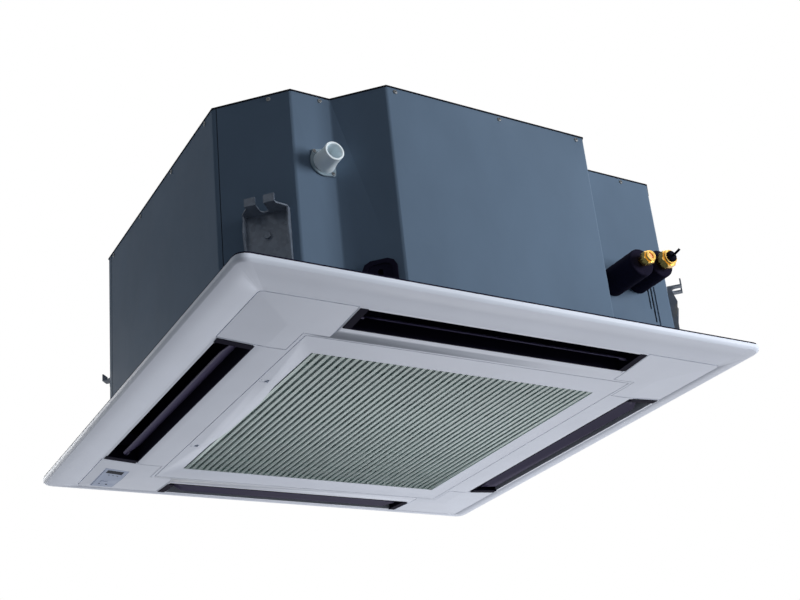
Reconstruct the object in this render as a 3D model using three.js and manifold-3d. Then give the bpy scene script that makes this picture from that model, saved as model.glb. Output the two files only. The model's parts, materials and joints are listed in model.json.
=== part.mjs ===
// Four-way ceiling cassette air conditioner, as one scene graph in millimetres.
// +Z points up into the ceiling and z = 0 is the lowest face of the decorative panel.
// +X and +Y run along the panel's sides; the pipes leave at the -Y side, near the +X corner.
import * as THREE from 'three';
import { mergeVertices } from 'three/addons/utils/BufferGeometryUtils.js';
import Module from 'manifold-3d';

const wasm = await Module();
wasm.setup();

// ---------------------------------------------------------------- driving dimensions

// Decorative panel
const PANEL_HALF = 475;
const PANEL_CORNER_RADIUS = 18;
const PANEL_SKIN = 3;
const FLAT_HALF = 345;
const BORDER_HALF = 422;
const BORDER_RISE = 5.2;
const RIM_RISE = 18.5;
const RIM_TOP = 28;
const PANEL_INNER_TOP = 29;
const SEAL_THICKNESS = 3;
const SEAL_WIDTH = 17;

// Outlets: distances from the panel's centre, and half the length of a slot
const OUTLET_INNER = 358;
const OUTLET_OUTER = 417;
const OUTLET_HALF = 253;
const OUTLET_END_WALL = 9;
const LINER_WALL = 2;
const LINER_TOP = 44;
const LINER_NECK = 404;
const NECK_HALF = 200;
const SHOULDER_SKIN = 1.2;
const LIP_TOP = 24;

// Louvers
const LOUVER_CHORD = 36;
const LOUVER_THICKNESS = 3.2;
const LOUVER_OFFSET = 382;
const LOUVER_HEIGHT = 12.2;
const LOUVER_TILT = 30;
const LOUVER_HALF = 247;
const LOUVER_TAPER = 24;
const LOUVER_PIN_RADIUS = 3;
const LOUVER_MOTOR_RADIUS = 10;
const LOUVER_MOTOR_LENGTH = 17;
const LOUVER_MOTOR_OFFSET = 7;

// Corner covers and the receiver with its display
const COVER_INNER = 267;
const COVER_RADIUS = 6;
const COVER_GROOVE = 0.8;
const LEDGE_WIDTH = 9;
const LEDGE_THICKNESS = 2.4;
const BOSS_PLACE = [322, 324];
const BOSS_RADIUS = 7;
const RECEIVER_CENTRE = [-379, 360.5];
const RECEIVER_SIZE = [44, 100];
const RECEIVER_DEPTH = 16;
const WINDOW_SIZE = [30, 15];
const WINDOW_SHIFT = [0, -34];
const WINDOW_DEPTH = 1.6;
const BUTTON_SIZE = [12, 7];
const BUTTON_SHIFT = [-4, 20];
const BUTTON_LENGTH = 5;

// Intake grille
const GRILLE_HALF = [303.6, 321];
const GRILLE_GROOVE = 1.4;
const GRILLE_SKIN = 2.5;
const GRILLE_DEPTH = 12;
const SLATTED_HALF = 269;
const SLAT_PITCH = 12.2;
const SLAT_WIDTH = 6.4;
const SLAT_DEPTH = 7.5;
const SLAT_RECESS = 0.5;
const SURROUND_DEPTH = 9;
const SLAT_LEAN = 3.2;
const BULGE_DEPTH = 7;
const BULGE_HALF = [136, 62];
const PIN_PLACE = [299.8, 3];
const PIN_RADIUS = 1.5;
const PIN_LENGTH = 9;
const LATCH_PLACE = 150;
const LATCH_HALF = 6;
const LATCH_HEIGHTS = [3.5, 7.5];
const LATCH_TRAVEL = 6;
const FILTER_HALF = [288, 304];
const FILTER_DEPTH = 5;
const FILTER_BAR = 12;

// Casing: plan outline, walls and heights
const CASING_LEFT = -414;
const CASING_RIGHT = 436;
const CASING_FRONT = -430;
const CASING_BACK = 414;
const CASING_BOTTOM = 31;
const CASING_TOP = 400;
const SHEET = 1.5;
const FRONT_LEFT = NECK_HALF - 12;
const FRONT_RIGHT = NECK_HALF - 2;
const RECESS_Y = -364;
const PIPE_WALL_Y = -350;
const FLANGE_WIDTH = 8;
const GUSSET_WIDTH = 45;
const GUSSET_FROM = 268;
const LID_LIP = 15;
const WIRING_HALF = 24;
const WIRING_HEIGHTS = [48, 96];
const WIRING_SHIFT = 8;
const WIRING_DEPTH = 8;
const CABLE_SLOT = { half: 4, heights: [60, 84] };
const WIRING_COVER = { from: 60, to: 32, heights: [50, 182] };
const WALL_SLITS = [[360, 363, 137, 177], [367, 370.5, 112, 180]];
const LID_RIB = { half: 200, width: 16, depth: 3 };

// Insulation, drain pan and coil
const FOAM_WALL = 20;
const PAN_TOP = 92;
const PAN_HOLE_RADIUS = 232;
const TROUGH_DEPTH = 14;
const TROUGH_MARGIN = 7;
const COIL_HALF = 325;
const COIL_DEPTH = 38;
const COIL_CORNER = 80;
const COIL_TOP = 358;
const COIL_GAP = [-150, -200];

// Fan and motor
const FAN_RADIUS = 235;
const FAN_EYE_RADIUS = 209;
const FAN_BLADES = 7;
const BLADE_ROOT = 150;
const BLADE_SWEEP = 46;
const BLADE_LEAN = 9;
const FAN_BOTTOM = 86;
const FAN_SHROUD_TOP = 140;
const FAN_HUB_HEIGHT = 260;
const FAN_WALL = 2.5;
const DOME_RADIUS = 82;
const DOME_HEIGHT = 185;
const SHAFT_RADIUS = 6;
const NUT_ACROSS = 19;
const MOTOR_RADIUS = 70;
const MOTOR_BOTTOM = 205;
const MOTOR_TOP = 305;
const MOUNT_SHEET = 3;
const MOUNT_RADIUS = MOTOR_RADIUS - 22;
const MOUNT_LEG = { half: 7, from: 10, reach: 36 };
const BELL_RADIUS = 207;
const BELL_FLANGE = 243;
const BELL_WALL = 2.2;
const BELL_RISE = 48;
const FLANGE_THICKNESS = 2.5;

// Hanging brackets: where the rods pass, and the bent plate
const ROD_X = [-374, 434];
const ROD_Y = 346;
const BRACKET_HEIGHT = 190;
const BRACKET_FOOT = 72;
const BRACKET_SHEET = 2.5;
const BRACKET_SLOT = 13;
const BRACKET_REACH = 11;
const TAB_WIDTH = 17;
const TAB_HEIGHT = 11;

// Drain socket, pump and float
const SOCKET_FROM_STEP = 20;
const SOCKET_PLACE = [CASING_FRONT - RECESS_Y - FRONT_LEFT - SOCKET_FROM_STEP, 276];
const SOCKET_RADIUS = 16;
const SOCKET_BORE = 12.5;
const SOCKET_LENGTH = 38;
const PUMP_PLACE = [-255, -255];
const PUMP_RADIUS = 28;
const PUMP_TOP = 206;
const HOSE_RADIUS = 9;
const FLOAT_PLACE = [-268, -306];

// Refrigerant pipes
const LIQUID_PLACE = [280, 173];
const GAS_PLACE = [338, 188];
const LIQUID_RADIUS = 5;
const GAS_RADIUS = 8;
const SLEEVE_RADIUS = 25;
const LIQUID_SLEEVE_END = -431;
const GAS_SLEEVE_END = -418;

// Control box, low in the drain pan on the back side
const BOX_LOW = [-150, 250, 26];
const BOX_HIGH = [150, 304, 60];
const BOX_WALL = 2;

// Fits
const GAP = 0.3;
const SMALLEST_STEP = 0.02;
const ROUND_STEPS = 16;
const SMALL_STEPS = 10;
const HUB_STEPS = 21;
const TURNED_STEPS = 28;

// ---------------------------------------------------------------- finishes

const finish = (color, roughness, metalness) =>
  new THREE.MeshStandardMaterial({ color, roughness, metalness, flatShading: true });

const FINISH = {
  panel: () => finish(0xdde0e8, 0.45, 0),
  grille: () => finish(0xc3ccc8, 0.5, 0),
  black: () => finish(0x15151f, 0.55, 0),
  louver: () => finish(0x3d3a50, 0.4, 0),
  label: () => finish(0xa9b6cc, 0.4, 0),
  window: () => finish(0x2a2e3c, 0.1, 0),
  casing: () => finish(0x5f7488, 0.45, 0.5),
  zinc: () => finish(0x8d99a5, 0.4, 0.8),
  foam: () => finish(0xe9e9e4, 0.9, 0),
  rubber: () => finish(0x1a1a22, 0.85, 0),
  aluminium: () => finish(0xb9bec4, 0.35, 0.9),
  plastic: () => finish(0xd5dbe2, 0.5, 0),
  clear: () => finish(0xc2cfe0, 0.3, 0),
  copper: () => finish(0xc9764a, 0.3, 0.9),
  brass: () => finish(0xc9a24a, 0.3, 0.9),
  fan: () => finish(0x2f3238, 0.5, 0),
  mesh: () => finish(0x4a5055, 0.8, 0),
};

// ---------------------------------------------------------------- solids from geometries

/** Closed geometry to solid; a shell that is inside out is turned round first. */
function solid(geometry) {
  const bare = geometry.clone();
  bare.deleteAttribute('normal');
  bare.deleteAttribute('uv');
  const merged = mergeVertices(bare, 1e-4);
  const vertProperties = Float32Array.from(merged.attributes.position.array);
  const triVerts = Uint32Array.from(merged.index.array);
  if (signedVolume(vertProperties, triVerts) < 0) {
    for (let i = 0; i < triVerts.length; i += 3) {
      [triVerts[i], triVerts[i + 1]] = [triVerts[i + 1], triVerts[i]];
    }
  }
  return new wasm.Manifold(new wasm.Mesh({ numProp: 3, vertProperties, triVerts }));
}

function signedVolume(points, triangles) {
  const [a, b, c] = [new THREE.Vector3(), new THREE.Vector3(), new THREE.Vector3()];
  let volume = 0;
  for (let i = 0; i < triangles.length; i += 3) {
    a.fromArray(points, 3 * triangles[i]);
    b.fromArray(points, 3 * triangles[i + 1]);
    c.fromArray(points, 3 * triangles[i + 2]);
    volume += a.dot(b.cross(c)) / 6;
  }
  return volume;
}

function geometryOf(manifold) {
  const { vertProperties, triVerts } = manifold.simplify(SMALLEST_STEP).getMesh();
  const geometry = new THREE.BufferGeometry();
  geometry.setAttribute('position', new THREE.BufferAttribute(vertProperties, 3));
  geometry.setIndex(new THREE.BufferAttribute(triVerts, 1));
  geometry.computeVertexNormals();
  return geometry;
}

const join = (...parts) => parts.reduce((whole, part) => whole.add(part));
const cut = (whole, ...parts) => parts.reduce((rest, part) => rest.subtract(part), whole);

/** Box between two opposite corners. */
function box([x0, y0, z0], [x1, y1, z1]) {
  const geometry = new THREE.BoxGeometry(x1 - x0, y1 - y0, z1 - z0);
  geometry.translate((x0 + x1) / 2, (y0 + y1) / 2, (z0 + z1) / 2);
  return solid(geometry);
}

/** Outline in plan, raised from z0 to z1. */
function prism(outline, z0, z1) {
  const shape = new THREE.Shape(outline.map(([x, y]) => new THREE.Vector2(x, y)));
  const geometry = new THREE.ExtrudeGeometry(shape, { depth: z1 - z0, bevelEnabled: false });
  geometry.translate(0, 0, z0);
  return solid(geometry);
}

/** Section drawn in (y, z), run along x from x0 to x1. */
function bar(section, x0, x1) {
  const shape = new THREE.Shape(section.map(([y, z]) => new THREE.Vector2(y, z)));
  const geometry = new THREE.ExtrudeGeometry(shape, { depth: x1 - x0, bevelEnabled: false });
  geometry.applyMatrix4(new THREE.Matrix4().makeBasis(
    new THREE.Vector3(0, 1, 0),
    new THREE.Vector3(0, 0, 1),
    new THREE.Vector3(1, 0, 0),
  ));
  geometry.translate(x0, 0, 0);
  return solid(geometry);
}

/** Upright cylinder. */
function post([x, y], radius, z0, z1, steps = ROUND_STEPS) {
  const geometry = new THREE.CylinderGeometry(radius, radius, z1 - z0, steps);
  geometry.rotateX(Math.PI / 2);
  geometry.translate(x, y, (z0 + z1) / 2);
  return solid(geometry);
}

/** Cylinder along x. */
function rodAlongX([y, z], radius, x0, x1, steps = SMALL_STEPS) {
  const geometry = new THREE.CylinderGeometry(radius, radius, x1 - x0, steps);
  geometry.rotateZ(Math.PI / 2);
  geometry.translate((x0 + x1) / 2, y, z);
  return solid(geometry);
}

/** Cylinder along y. */
function rodAlongY([x, z], radius, y0, y1, steps = ROUND_STEPS) {
  const geometry = new THREE.CylinderGeometry(radius, radius, y1 - y0, steps);
  geometry.translate(x, (y0 + y1) / 2, z);
  return solid(geometry);
}

/** Closed (radius, z) profile turned about the z axis. */
function revolve(profile, steps = TURNED_STEPS) {
  const points = profile.map(([radius, z]) => new THREE.Vector2(radius, z));
  const onAxis = points[0].x === 0 && points[points.length - 1].x === 0;
  if (!onAxis) {
    points.push(points[0].clone());
  }
  const geometry = new THREE.LatheGeometry(points, steps);
  geometry.rotateX(Math.PI / 2);
  return solid(geometry);
}

/** Solid between matching rings of [x, y, z] points, closed by flat ends. */
function loft(rings) {
  const count = rings[0].length;
  const positions = rings.flat(2);
  const indices = [];
  for (let i = 0; i + 1 < rings.length; i += 1) {
    for (let j = 0; j < count; j += 1) {
      const [a, b] = [i * count + j, i * count + (j + 1) % count];
      indices.push(a, b, b + count, a, b + count, a + count);
    }
  }
  const flat = rings[0].map(([x, y]) => new THREE.Vector2(x, y));
  const last = (rings.length - 1) * count;
  for (const [a, b, c] of THREE.ShapeUtils.triangulateShape(flat, [])) {
    indices.push(c, b, a, last + a, last + b, last + c);
  }
  const geometry = new THREE.BufferGeometry();
  geometry.setAttribute('position', new THREE.Float32BufferAttribute(positions, 3));
  geometry.setIndex(indices);
  return solid(geometry);
}

/** Closed (half size, z) profile carried round a square whose corners are rounded. */
function squareRing(profile, cornerRadius, arcSteps = 4) {
  const positions = [];
  for (let corner = 0; corner < 4; corner += 1) {
    for (let step = 0; step <= arcSteps; step += 1) {
      const angle = (corner + step / arcSteps) * Math.PI / 2;
      const [signX, signY] = [[1, 1], [-1, 1], [-1, -1], [1, -1]][corner];
      for (const [half, z] of profile) {
        const radius = cornerRadius(half);
        const centre = half - radius;
        positions.push(signX * centre + radius * Math.cos(angle));
        positions.push(signY * centre + radius * Math.sin(angle), z);
      }
    }
  }
  const count = profile.length;
  const stations = 4 * (arcSteps + 1);
  const indices = [];
  for (let i = 0; i < stations; i += 1) {
    const next = (i + 1) % stations;
    for (let j = 0; j < count; j += 1) {
      const following = (j + 1) % count;
      const [a, b] = [i * count + j, i * count + following];
      const [c, d] = [next * count + following, next * count + j];
      indices.push(a, b, c, a, c, d);
    }
  }
  const geometry = new THREE.BufferGeometry();
  geometry.setAttribute('position', new THREE.Float32BufferAttribute(positions, 3));
  geometry.setIndex(indices);
  return solid(geometry);
}

/** Round tube along a curve. */
function tube(curve, radius, steps, sides = 6) {
  const section = new THREE.Shape();
  section.absarc(0, 0, radius, 0, 2 * Math.PI);
  return solid(new THREE.ExtrudeGeometry(section, {
    steps,
    curveSegments: sides,
    extrudePath: curve,
  }));
}

/** Route through points with round bends of one radius. */
function bentRoute(points, bend) {
  const path = new THREE.CurvePath();
  const corners = points.map((point) => new THREE.Vector3(...point));
  let from = corners[0];
  for (let i = 1; i + 1 < corners.length; i += 1) {
    const into = corners[i - 1].clone().sub(corners[i]).setLength(bend).add(corners[i]);
    const out = corners[i + 1].clone().sub(corners[i]).setLength(bend).add(corners[i]);
    path.add(new THREE.LineCurve3(from, into));
    path.add(new THREE.QuadraticBezierCurve3(into, corners[i], out));
    from = out;
  }
  path.add(new THREE.LineCurve3(from, corners[corners.length - 1]));
  return path;
}

/** Outline moved inwards by a distance (outwards if negative), corner by corner. */
function inset(outline, distance) {
  const count = outline.length;
  const area = outline.reduce((sum, [x, y], i) => {
    const [nextX, nextY] = outline[(i + 1) % count];
    return sum + x * nextY - nextX * y;
  }, 0);
  const side = Math.sign(area) * distance;
  return outline.map(([x, y], i) => {
    const [beforeX, beforeY] = outline[(i + count - 1) % count];
    const [afterX, afterY] = outline[(i + 1) % count];
    const before = new THREE.Vector2(x - beforeX, y - beforeY).normalize();
    const after = new THREE.Vector2(afterX - x, afterY - y).normalize();
    const turn = 1 + before.dot(after);
    const shiftX = -(before.y + after.y) * side / turn;
    const shiftY = (before.x + after.x) * side / turn;
    return [x + shiftX, y + shiftY];
  });
}

const rectangle = ([x, y], [width, depth]) => [
  [x - width / 2, y - depth / 2],
  [x + width / 2, y - depth / 2],
  [x + width / 2, y + depth / 2],
  [x - width / 2, y + depth / 2],
];

const degrees = (angle) => angle * Math.PI / 180;

// ---------------------------------------------------------------- scene

const unit = new THREE.Group();

function add(name, manifold, material, turn = 0) {
  const mesh = new THREE.Mesh(geometryOf(manifold), material);
  mesh.name = name;
  mesh.rotation.z = turn;
  unit.add(mesh);
}

/** The four sides: a part made for the back side is turned about z to each. */
const SIDES = [
  ['back', 0],
  ['left', Math.PI / 2],
  ['front', Math.PI],
  ['right', -Math.PI / 2],
];

// ---------------------------------------------------------------- decorative panel

/** Height of the panel's lower face, a distance away from its centre lines. */
function panelFace(distance) {
  if (distance <= FLAT_HALF) {
    return 0;
  }
  if (distance <= BORDER_HALF) {
    return BORDER_RISE * (distance - FLAT_HALF) / (BORDER_HALF - FLAT_HALF);
  }
  const along = (distance - BORDER_HALF) / (PANEL_HALF - BORDER_HALF);
  return BORDER_RISE + (RIM_RISE - BORDER_RISE) * along;
}

const panelCorner = (half) => Math.max(4, PANEL_CORNER_RADIUS - (PANEL_HALF - half) / 5);

/** Plate that follows the panel's lower face, lifted above it. */
function facePlate(lift, thickness, from, to) {
  const bends = [from, FLAT_HALF, BORDER_HALF, to];
  const lower = bends.map((half) => [half, panelFace(half) + lift]);
  const upper = bends.map((half) => [half, panelFace(half) + lift + thickness]).reverse();
  return squareRing([...lower, ...upper], panelCorner);
}

function coverOutline(grow) {
  const outer = BORDER_HALF - COVER_GROOVE / 2 + grow;
  const inner = COVER_INNER + COVER_GROOVE / 2 - grow;
  const notchX = GRILLE_HALF[0] + GRILLE_GROOVE + 2 * PANEL_SKIN - grow;
  const notchY = GRILLE_HALF[1] + GRILLE_GROOVE + 2 * PANEL_SKIN - grow;
  const radius = Math.max(1, COVER_RADIUS + grow);
  const corner = outer - radius;
  const arc = [0, 1, 2].map((step) => {
    const angle = step * Math.PI / 4;
    return [corner + radius * Math.cos(angle), corner + radius * Math.sin(angle)];
  });
  return [[outer, inner], ...arc, [inner, outer], [inner, notchY], [notchX, notchY], [notchX, inner]];
}

const CORNERS = [
  ['back_right', 1, 1],
  ['back_left', -1, 1],
  ['front_left', -1, -1],
  ['front_right', 1, -1],
];

const atCorner = (outline, signX, signY) => outline.map(([x, y]) => [signX * x, signY * y]);

function panelFrame() {
  const rimInner = PANEL_HALF - PANEL_SKIN;
  const fillet = 4;
  const skin = squareRing([
    [GRILLE_HALF[0] - 20, 0],
    [FLAT_HALF, 0],
    [BORDER_HALF, BORDER_RISE],
    [PANEL_HALF - fillet, panelFace(PANEL_HALF - fillet)],
    [PANEL_HALF - fillet / 4, RIM_RISE + fillet / 4],
    [PANEL_HALF, RIM_RISE + fillet],
    [PANEL_HALF, RIM_TOP],
    [rimInner, RIM_TOP],
    [rimInner, RIM_RISE + fillet + PANEL_SKIN / 2],
    [PANEL_HALF - 2 * fillet, panelFace(PANEL_HALF - 2 * fillet) + PANEL_SKIN],
    [BORDER_HALF, BORDER_RISE + PANEL_SKIN],
    [FLAT_HALF, PANEL_SKIN],
    [GRILLE_HALF[0] - 20, PANEL_SKIN],
  ], panelCorner);
  const mouth = GRILLE_HALF.map((half) => 2 * (half + GRILLE_GROOVE));
  const wallOutside = mouth.map((width) => width + 2 * PANEL_SKIN);
  const opening = prism(rectangle([0, 0], mouth), -1, PANEL_INNER_TOP + 1);
  let frame = join(skin, prism(rectangle([0, 0], wallOutside), 0, PANEL_INNER_TOP));
  const bosses = [];
  for (const [, signX, signY] of CORNERS) {
    const pocket = prism(atCorner(coverOutline(COVER_GROOVE), signX, signY), -1, PANEL_SKIN + 8);
    const ledge = facePlate(PANEL_SKIN - 0.1, LEDGE_THICKNESS, FLAT_HALF - 60, BORDER_HALF + 8);
    const reach = prism(atCorner(coverOutline(4), signX, signY), 0, PANEL_SKIN + 20);
    const hole = prism(atCorner(coverOutline(-LEDGE_WIDTH), signX, signY), 0, PANEL_SKIN + 20);
    frame = join(cut(frame, pocket), cut(ledge.intersect(reach), hole));
    const place = [signX * BOSS_PLACE[0], signY * BOSS_PLACE[1]];
    bosses.push(cut(
      post(place, BOSS_RADIUS, PANEL_SKIN, CASING_BOTTOM - GAP, SMALL_STEPS),
      post(place, BOSS_RADIUS / 3, 2 * PANEL_SKIN, CASING_BOTTOM, SMALL_STEPS),
    ));
  }
  frame = join(cut(frame, opening), ...bosses);
  const slotHalf = OUTLET_HALF + OUTLET_END_WALL + GAP;
  const slot = box(
    [-slotHalf, OUTLET_INNER - GAP, -1],
    [slotHalf, OUTLET_OUTER + GAP, PANEL_INNER_TOP + 1],
  );
  const bevel = bar([
    [OUTLET_INNER - 8, -1],
    [OUTLET_INNER - 8, 0],
    [OUTLET_INNER + 1, 2.2],
    [OUTLET_INNER + 1, -1],
  ], -slotHalf, slotHalf);
  const lip = bar([
    [OUTLET_OUTER + GAP, panelFace(OUTLET_OUTER)],
    [OUTLET_OUTER + 4, panelFace(OUTLET_OUTER) + 1],
    [OUTLET_OUTER + 4, LIP_TOP],
    [OUTLET_OUTER + 2, LIP_TOP],
    [OUTLET_OUTER + GAP, LIP_TOP - 6],
  ], -slotHalf, slotHalf);
  for (const [, turn] of SIDES) {
    const angle = [0, 0, turn * 180 / Math.PI];
    frame = join(cut(frame, slot.rotate(angle), bevel.rotate(angle)), lip.rotate(angle));
  }
  return cut(frame, ...hingeHoles(), ...latchHoles());
}

function hingeHoles() {
  return [-1, 1].map((side) => {
    const ends = [GRILLE_HALF[1] - 6, GRILLE_HALF[1] + GRILLE_GROOVE + PANEL_SKIN + 1];
    const [from, to] = ends.map((end) => side * end).sort((a, b) => a - b);
    return rodAlongY(PIN_PLACE, PIN_RADIUS + GAP, from, to, SMALL_STEPS);
  });
}

/** Holes in the panel's inner wall that the latch tongues enter. */
function latchHoles() {
  const wall = GRILLE_HALF[0] + GRILLE_GROOVE;
  const [low, high] = LATCH_HEIGHTS;
  return [-LATCH_PLACE, LATCH_PLACE].map((y) => box(
    [-wall - PANEL_SKIN - 1, y - LATCH_HALF - GAP, low - GAP],
    [-wall + 1, y + LATCH_HALF + GAP, high + GAP],
  ));
}

function receiverPocket(grow) {
  const size = RECEIVER_SIZE.map((width) => width + 2 * grow);
  return prism(rectangle(RECEIVER_CENTRE, size), -1, PANEL_SKIN + 12);
}

function cornerCover(signX, signY) {
  const skin = facePlate(0, PANEL_SKIN - 0.4, FLAT_HALF - 60, BORDER_HALF + 8);
  const cover = skin.intersect(prism(atCorner(coverOutline(0), signX, signY), -1, PANEL_SKIN + 12));
  const clipRoot = PANEL_SKIN - 0.8;
  const clipFar = BORDER_HALF - 27;
  const clips = [[COVER_INNER + 45, clipFar], [clipFar, COVER_INNER + 45]].map(([x, y]) => box(
    [signX * x - 5, signY * y - 5, clipRoot + panelFace(clipFar)],
    [signX * x + 5, signY * y - 2.5, clipRoot + panelFace(clipFar) + 10],
  ).add(box(
    [signX * x - 5, signY * y + 2.5, clipRoot + panelFace(clipFar)],
    [signX * x + 5, signY * y + 5, clipRoot + panelFace(clipFar) + 10],
  )));
  const isReceiverCover = signX < 0 && signY > 0;
  return isReceiverCover ? cut(cover, receiverPocket(GAP)) : join(cover, ...clips);
}

function offsetFrom([x, y], [shiftX, shiftY]) {
  return [x + shiftX, y + shiftY];
}

function receiverFace(thickness) {
  return facePlate(0, thickness, FLAT_HALF - 60, BORDER_HALF + 8);
}

function displayReceiver() {
  const outline = rectangle(RECEIVER_CENTRE, RECEIVER_SIZE);
  const face = receiverFace(PANEL_SKIN).intersect(prism(outline, -1, PANEL_SKIN + 12));
  const back = prism(inset(outline, 2), PANEL_SKIN, PANEL_SKIN + RECEIVER_DEPTH);
  const window = rectangle(offsetFrom(RECEIVER_CENTRE, WINDOW_SHIFT), WINDOW_SIZE);
  const button = rectangle(offsetFrom(RECEIVER_CENTRE, BUTTON_SHIFT), BUTTON_SIZE);
  return cut(
    join(face, back),
    facePlate(-1, WINDOW_DEPTH + 1 + GAP, FLAT_HALF - 60, BORDER_HALF + 8).intersect(
      prism(inset(window, -GAP), -1, PANEL_SKIN + 12),
    ),
    prism(inset(button, -GAP), -1, BUTTON_LENGTH + 4),
  );
}

function displayWindow() {
  const outline = rectangle(offsetFrom(RECEIVER_CENTRE, WINDOW_SHIFT), WINDOW_SIZE);
  return receiverFace(WINDOW_DEPTH).intersect(prism(outline, -1, PANEL_SKIN + 12));
}

function testButton() {
  const outline = rectangle(offsetFrom(RECEIVER_CENTRE, BUTTON_SHIFT), BUTTON_SIZE);
  const inSlope = facePlate(-0.4, BUTTON_LENGTH, FLAT_HALF - 60, BORDER_HALF + 8);
  return inSlope.intersect(prism(outline, -1, PANEL_SKIN + 12));
}

function ceilingSeal() {
  const outer = PANEL_HALF - 1.5;
  return squareRing([
    [outer - SEAL_WIDTH, RIM_TOP + GAP],
    [outer, RIM_TOP + GAP],
    [outer, RIM_TOP + GAP + SEAL_THICKNESS],
    [outer - SEAL_WIDTH, RIM_TOP + GAP + SEAL_THICKNESS],
  ], panelCorner);
}

// ---------------------------------------------------------------- outlets

function outletLiner() {
  const bottom = panelFace(OUTLET_INNER + GAP) + 0.3;
  const end = OUTLET_HALF + OUTLET_END_WALL;
  const shoulder = CASING_BOTTOM - GAP;
  const shell = bar([
    [OUTLET_INNER + GAP, bottom],
    [OUTLET_INNER + GAP, shoulder],
    [LINER_NECK, shoulder],
    [OUTLET_OUTER - 0.1, LIP_TOP - 1],
    [OUTLET_OUTER - 0.1, panelFace(OUTLET_OUTER - 0.1) + 0.3],
  ], -end, end);
  const mouth = bar([
    [OUTLET_INNER + GAP + LINER_WALL, -1],
    [OUTLET_INNER + GAP + LINER_WALL, shoulder - SHOULDER_SKIN],
    [LINER_NECK - LINER_WALL, shoulder - SHOULDER_SKIN],
    [OUTLET_OUTER - LINER_WALL, LIP_TOP - 1.5],
    [OUTLET_OUTER - LINER_WALL, -1],
  ], -OUTLET_HALF, OUTLET_HALF);
  const neck = box([-NECK_HALF, OUTLET_INNER + GAP, LIP_TOP], [NECK_HALF, LINER_NECK, LINER_TOP]);
  const duct = box(
    [-NECK_HALF + LINER_WALL, OUTLET_INNER + GAP + LINER_WALL, bottom],
    [NECK_HALF - LINER_WALL, LINER_NECK - LINER_WALL, LINER_TOP + 1],
  );
  const lipWindow = box(
    [-OUTLET_HALF, OUTLET_OUTER - 2 * LINER_WALL, -1],
    [OUTLET_HALF, OUTLET_OUTER + 1, LIP_TOP - 4],
  );
  const rims = [-1, 1].map((side) => {
    const across = [side * (OUTLET_HALF - 2), side * (end + 2.5)].sort((a, b) => a - b);
    return bar([
      [OUTLET_INNER + 3.5, panelFace(OUTLET_INNER + 3.5) - 1],
      [OUTLET_OUTER + 2, panelFace(OUTLET_OUTER + 2) - 1],
      [OUTLET_OUTER + 2, panelFace(OUTLET_OUTER + 2) - 0.3],
      [OUTLET_OUTER - 0.3, panelFace(OUTLET_OUTER - 0.3) - 0.3],
      [OUTLET_OUTER - 0.3, panelFace(OUTLET_OUTER - 0.3) + 1],
      [OUTLET_INNER + 3.5, panelFace(OUTLET_INNER + 3.5) + 1],
    ], ...across);
  });
  const inSlot = bar([
    [OUTLET_INNER - 1, panelFace(OUTLET_INNER) - 0.3],
    [OUTLET_OUTER + 4, panelFace(OUTLET_OUTER + 4) - 0.3],
    [OUTLET_OUTER + 4, LINER_TOP],
    [OUTLET_INNER - 1, LINER_TOP],
  ], end, end + 4);
  const trimmed = rims.map((rim) => cut(rim, inSlot, inSlot.mirror([1, 0, 0])));
  const bearing = rodAlongX([LOUVER_OFFSET, LOUVER_HEIGHT], LOUVER_PIN_RADIUS + GAP, -end - 1, end + 1);
  return cut(join(cut(join(shell, neck), mouth, duct, lipWindow), ...trimmed), bearing);
}

/** Slender blade with a bowed section, narrowed at both ends, on two pins. */
function louver() {
  const half = LOUVER_CHORD / 2;
  const stations = [-1, -0.5, 0, 0.5, 1];
  const bow = (t) => 1.6 * (1 - t * t);
  const thickness = (t) => LOUVER_THICKNESS * (1 - 0.65 * t * t) / 2;
  const section = [
    ...stations.map((t) => [t, bow(t) - thickness(t)]),
    ...[...stations].reverse().map((t) => [t, bow(t) + thickness(t)]),
  ];
  const ring = (x, scale) => section.map(([t, rise]) => [t * half * scale, rise * Math.sqrt(scale), x]);
  const blade = loft([
    ring(-LOUVER_HALF, 0.35),
    ring(-LOUVER_HALF + LOUVER_TAPER, 1),
    ring(LOUVER_HALF - LOUVER_TAPER, 1),
    ring(LOUVER_HALF, 0.35),
  ]);
  const tilt = degrees(-LOUVER_TILT);
  const placed = blade.transform(new THREE.Matrix4().makeBasis(
    new THREE.Vector3(0, Math.cos(tilt), Math.sin(tilt)),
    new THREE.Vector3(0, -Math.sin(tilt), Math.cos(tilt)),
    new THREE.Vector3(1, 0, 0),
  ).setPosition(0, LOUVER_OFFSET, LOUVER_HEIGHT).toArray());
  const pins = rodAlongX(
    [LOUVER_OFFSET, LOUVER_HEIGHT],
    LOUVER_PIN_RADIUS,
    -OUTLET_HALF - OUTLET_END_WALL + 1,
    -LOUVER_HALF + 8,
  ).add(rodAlongX(
    [LOUVER_OFFSET, LOUVER_HEIGHT],
    LOUVER_PIN_RADIUS,
    LOUVER_HALF - 8,
    OUTLET_HALF + OUTLET_END_WALL + 4,
  ));
  return join(placed, pins);
}

function louverMotor() {
  const face = OUTLET_HALF + OUTLET_END_WALL + GAP;
  const height = LOUVER_HEIGHT + LOUVER_MOTOR_OFFSET;
  const axis = [LOUVER_OFFSET, height];
  const body = rodAlongX(axis, LOUVER_MOTOR_RADIUS, face, face + LOUVER_MOTOR_LENGTH, ROUND_STEPS);
  const ears = box(
    [face, LOUVER_OFFSET - LOUVER_MOTOR_RADIUS - 6, height - 3],
    [face + 1, LOUVER_OFFSET + LOUVER_MOTOR_RADIUS + 6, height + 3],
  );
  const socket = rodAlongX([LOUVER_OFFSET, LOUVER_HEIGHT], LOUVER_PIN_RADIUS + GAP, face - 1, face + 5);
  return cut(join(body, ears), socket);
}

// ---------------------------------------------------------------- intake grille

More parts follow.
